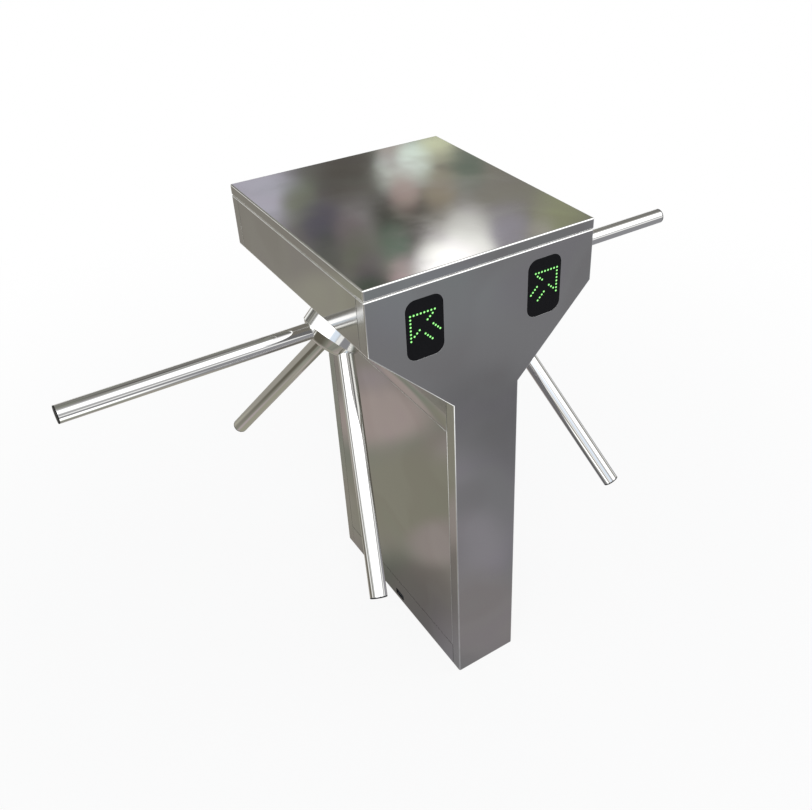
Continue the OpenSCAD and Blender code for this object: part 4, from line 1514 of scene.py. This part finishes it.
# Four large cards, then the small ones that the lid shows
SOFT_CARDS = [SoftCard(*row) for row in (
    (222, 40, 40, (2.2, 2.2, 2.25)),
    (143, 42, 38, (2.2, 2.2, 2.25)),
    (280, 38, 32, (2, 2, 2.05)),
    (204, 10, 17, (0.86, 0.96, 1.10)),
    (19.5, 22, 3.6, (0.70, 0.68, 0.80)),
    (26, 21.2, 3, (0.145, 0.135, 0.12)),
    (22.5, 23, 1.7, (0.29, 0.31, 0.24)),
    (38, 23, 3.4, (0.33, 0.32, 0.27)),
    (29.5, 24, 2.8, (0.095, 0.09, 0.08)),
    (29, 21.2, 1.4, (0.85, 0.92, 0.86)),
    (29.3, 19.5, 1.4, (0.60, 0.54, 0.51)),
    (30.8, 20.5, 1.6, (1.20, 1.38, 1.26)),
    (32.5, 19, 1.8, (0.95, 1, 0.70)),
    (34.5, 21, 1.7, (0.22, 0.27, 0.22)),
    (30, 22.5, 1.5, (0.60, 0.47, 0.43)),
    (32.5, 22.5, 1.6, (0.43, 0.37, 0.28)),
    (23.9, 24.5, 2.2, (0.15, 0.14, 0.18)),
    (24.3, 26.2, 1.6, (0.14, 0.15, 0.13)),
    (26, 25, 1.6, (0.27, 0.22, 0.24)),
    (29, 26, 1.5, (0.16, 0.27, 0.19)),
    (26.5, 26.5, 1.5, (0.20, 0.24, 0.15)),
    (27, 27.5, 1.3, (0.26, 0.20, 0.25)),
    (27, 29, 1.6, (0.10, 0.13, 0.10)),
    (41.5, 24, 2.6, (0.42, 0.44, 0.28)),
    (37.5, 25.5, 2.4, (0.47, 0.45, 0.52)),
    (40, 25.5, 1.3, (0.58, 0.55, 0.50)),
    (29.5, 28, 1.2, (0.80, 0.62, 0.64)),
    (34.5, 25.4, 2, (1.15, 1.15, 1.12)),
    (35.4, 27, 1.7, (1.6, 1.6, 1.55)),
    (32.9, 27.9, 2.8, (2.15, 2.15, 2.1)),
)]
SOFT_SPOTS = [SoftSpot(*row) for row in (
    (-0.80, -0.98, 0.75, (1.7, 1.7, 1.7)),
    (-1.45, 0.35, 0.9, (0.13, 0.12, 0.095)),
    (-0.42, 0.70, 0.22, (0.53, 0.45, 0.425)),
    (-0.31, 0.32, 0.30, (0.345, 0.335, 0.27)),
    (-0.27, 0.11, 0.12, (0.43, 0.38, 0.36)),
    (-1.00, 1.45, 0.35, (0.42, 0.41, 0.34)),
    (0.62, -1.06, 0.30, (0.22, 0.22, 0.235)),
    (0.80, -1.85, 0.45, (0.32, 0.34, 0.365)),
    (0.06, -0.38, 0.20, (0.34, 0.32, 0.33)),
)]


@dataclass
class Studio:
    """Camera, floor, plain soft lamps and the cloths and cards that polished steel reflects."""

    eye: Triple = (-0.8138, -1.4082, 1.7444)
    ahead: Triple = (0.4737, 0.6718, -0.5694)
    rightward: Triple = (0.8172, -0.5763, 0.0)
    lens_mm: float = 40.41
    shift: Pair = (-0.0945, -0.0238)
    clip: Pair = (0.05, 200.0)
    sky: Colour = (0.95, 0.97, 1.0)
    sky_strength: float = 0.6
    floor_half: float = 30.0
    floor_grey: Colour = (0.86, 0.86, 0.86)
    floor_fade: Pair = (0.6, 2.6)
    floor_near_share: float = 0.87
    foot_edge: float = 5 * MM
    wall_radius: float = 20.0
    wall_middle: Triple = (0.0, 0.0, 1.05)
    wall_fade: float = 0.06
    wall_scale: float = 5.5
    wall_seed: float = 7.0
    pale_side: SoftCard = SoftCard(190.0, 22.0, 50.0, (0.45, 0.45, 0.46))
    pale_fade: float = 30.0
    card_core: float = 0.25
    cloth_radius: float = 6.0
    cloth_lift: float = 1.5 * MM
    cloth_scale: float = 3.2
    cloth_seed: float = 2.0
    cloth_calm: Pair = (0.7, 1.6)
    cloth_turn: float = 0.3
    cloth_whole: float = 0.7
    foot_shade: Row = (0.12, 0.30, 0.58, 1.0)
    steps: int = 64

    def camera(self) -> None:
        """Sets the camera where the photograph was taken from."""
        data = bpy.data.cameras.new("camera")
        data.lens = self.lens_mm
        data.shift_x, data.shift_y = self.shift
        data.clip_start, data.clip_end = self.clip
        camera = bpy.data.objects.new("camera", data)
        ahead, right = Vector(self.ahead).normalized(), Vector(self.rightward).normalized()
        turn = Matrix((right, right.cross(ahead), -ahead)).transposed().to_4x4()
        camera.matrix_world = Matrix.Translation(self.eye) @ turn
        bpy.context.scene.collection.objects.link(camera)
        bpy.context.scene.camera = camera

    def seen(self, build: Tree) -> NodeSocket:
        """Whether a ray comes from the camera or from metal or glass that shows the background.

        Args:
            build: The tree of the world or of a material.

        Returns:
            1 for such a ray and 0 for another.
        """
        path = build.add("ShaderNodeLightPath").outputs
        direct = build.calc("MAXIMUM", path["Is Camera Ray"], path["Is Glossy Ray"])
        return build.calc("MAXIMUM", direct, path["Is Transmission Ray"])

    def world(self) -> None:
        """Makes a white surround that is seen, and an even sky that lights the object."""
        world = bpy.data.worlds.new("studio")
        build = Tree.emptied(world)
        sky = build.first("ShaderNodeBackground", {"Color": rgba(self.sky), "Strength": self.sky_strength})
        white = build.first("ShaderNodeBackground", {"Color": rgba(WHITE), "Strength": 1.0})
        both = build.first("ShaderNodeMixShader", {0: self.seen(build), 1: sky, 2: white})
        build.add("ShaderNodeOutputWorld", {"Surface": both})
        bpy.context.scene.world = world

    def surface(self, name: str, mesh: Mesh) -> Tree:
        """Puts a new material on a mesh.

        Args:
            name: The material's name.
            mesh: The mesh.

        Returns:
            The material's empty tree.
        """
        material = bpy.data.materials.new(name)
        mesh.materials.append(material)
        return Tree.emptied(material)

    def floor(self) -> None:
        """Makes a pale floor that keeps the object's soft shadow and fades to the white surround."""
        h = self.floor_half
        mesh = bpy.data.meshes.new("studio_floor")
        mesh.from_pydata([(-h, -h, 0), (h, -h, 0), (h, h, 0), (-h, h, 0)], [], [(0, 1, 2, 3)])
        build = self.surface("pale_floor", mesh)
        matt = build.first("ShaderNodeBsdfDiffuse", {"Color": rgba(self.floor_grey)})
        white = build.first("ShaderNodeEmission", {"Color": rgba(WHITE), "Strength": 1.0})
        where = build.where()
        lifted = build.span(build.measure("LENGTH", where), *self.floor_fade, self.floor_near_share, 1.0)
        x, y, _ = build.split(where)
        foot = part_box("base_plate")[1]
        past_x = build.calc("SUBTRACT", build.calc("ABSOLUTE", x), foot.x)
        past_y = build.calc("SUBTRACT", build.calc("ABSOLUTE", y), foot.y)
        outside = build.span(build.calc("MAXIMUM", past_x, past_y), -self.foot_edge, 0.0)
        share = build.calc("MULTIPLY", build.calc("MULTIPLY", self.seen(build), lifted), outside)
        both = build.first("ShaderNodeMixShader", {0: share, 1: matt, 2: white})
        build.add("ShaderNodeOutputMaterial", {"Surface": both})
        new_object("studio_floor", mesh)

    def cloth(self, name: str, body: BMesh, paint: Callable[[Tree], tuple[NodeSocket, NodeSocket]]) -> None:
        """Hangs or lays a cloth that only reflections show.

        Args:
            name: The cloth's name.
            body: Its bmesh, which is freed.
            paint: Gives the cloth's colour, and how much of it shows, in a material's tree.
        """
        mesh = as_mesh(f"studio_{name}", body)
        build = self.surface(name, mesh)
        colour, share = paint(build)
        clear = build.first("ShaderNodeBsdfTransparent")
        glow = build.first("ShaderNodeEmission", {"Color": colour, "Strength": 1.0})
        both = build.first("ShaderNodeMixShader", {0: share, 1: clear, 2: glow})
        build.add("ShaderNodeOutputMaterial", {"Surface": both})
        made = new_object(mesh.name, mesh)
        for ray in ("camera", "diffuse", "shadow", "transmission", "volume_scatter"):
            setattr(made, f"visible_{ray}", False)

    def paint_wall(self, build: Tree) -> tuple[NodeSocket, NodeSocket]:
        """Mottles the wall, puts the soft cards on it and leaves it open below.

        Args:
            build: The wall's tree.

        Returns:
            The wall's colour, and how much of it shows.
        """
        way = build.vector("NORMALIZE", build.vector("SUBTRACT", build.where(), self.wall_middle))
        pale = self.pale_side
        front = pale.share(build, way, pale.spread + self.pale_fade, pale.spread)
        mottle = build.ramp(build.noise(way, self.wall_scale, self.wall_seed, detail=1.0), WALL_MOTTLE)
        colour = build.mix(front, mottle, rgba(pale.light))
        for card in SOFT_CARDS:
            share = card.share(build, way, card.spread, self.card_core * card.spread)
            colour = build.mix(share, colour, rgba(card.light))
        return colour, build.span(build.split(way)[2], 0.0, self.wall_fade)

    def paint_floor(self, build: Tree) -> tuple[NodeSocket, NodeSocket]:
        """Dyes the floor's cloth cool in front and warm behind, dim at the object's foot, with its spots.

        Args:
            build: The cloth's tree.

        Returns:
            The cloth's colour, and how much of it shows.
        """
        where = build.where()
        x, y, _ = build.split(where)
        away = build.measure("LENGTH", where)
        cloud = build.noise(where, self.cloth_scale, self.cloth_seed, detail=1.0)
        far = build.span(away, *self.cloth_calm)
        cloud = build.calc("ADD", cloud, build.calc("MULTIPLY", far, build.calc("SUBTRACT", 0.5, cloud)))
        back = build.span(build.calc("SUBTRACT", y, x), -self.cloth_turn, self.cloth_turn)
        dyed = build.mix(back, build.ramp(cloud, FLOOR_COOL), build.ramp(cloud, FLOOR_WARM))
        colour = build.mix(1.0, dyed, build.grey(build.span(away, *self.foot_shade)), "MULTIPLY")
        for spot in SOFT_SPOTS:
            colour = build.mix(spot.share(build, where), colour, rgba(spot.light))
        whole = self.cloth_whole * self.cloth_radius
        return colour, build.span(away, whole, self.cloth_radius, 1.0, 0.0)

    def wall_cloth(self) -> None:
        """Hangs a mottled cloth wall round the studio."""
        body = bmesh.new()
        across, up = self.steps, self.steps // 2
        bmesh.ops.create_uvsphere(body, u_segments=across, v_segments=up, radius=self.wall_radius)
        bmesh.ops.reverse_faces(body, faces=body.faces)
        body.transform(Matrix.Translation(self.wall_middle))
        self.cloth("wall_cloth", body, self.paint_wall)

    def floor_cloth(self) -> None:
        """Lays a round cloth on the floor about the object's foot."""
        body = bmesh.new()
        lift = Matrix.Translation((0, 0, self.cloth_lift))
        size = {"segments": self.steps, "radius": self.cloth_radius}
        bmesh.ops.create_circle(body, cap_ends=True, matrix=lift, **size)
        self.cloth("floor_cloth", body, self.paint_floor)

    def build(self) -> None:
        """Builds the studio."""
        self.camera()
        self.world()
        self.floor()
        for lamp in LAMPS:
            lamp.build()
        self.wall_cloth()
        self.floor_cloth()


def main() -> None:
    """Builds the turnstile's pieces and the studio, in order."""
    logging.basicConfig(level=logging.INFO, format="%(name)s: %(message)s")
    bpy.context.scene.view_settings.view_transform = "Standard"
    Studio().build()
    Housing().build()
    Displays().build()
    for side in Side:
        Rotor(side).build()
    Mechanism().build()
    Screws().build()
    Electronics().build()


if __name__ == "__main__":
    main()
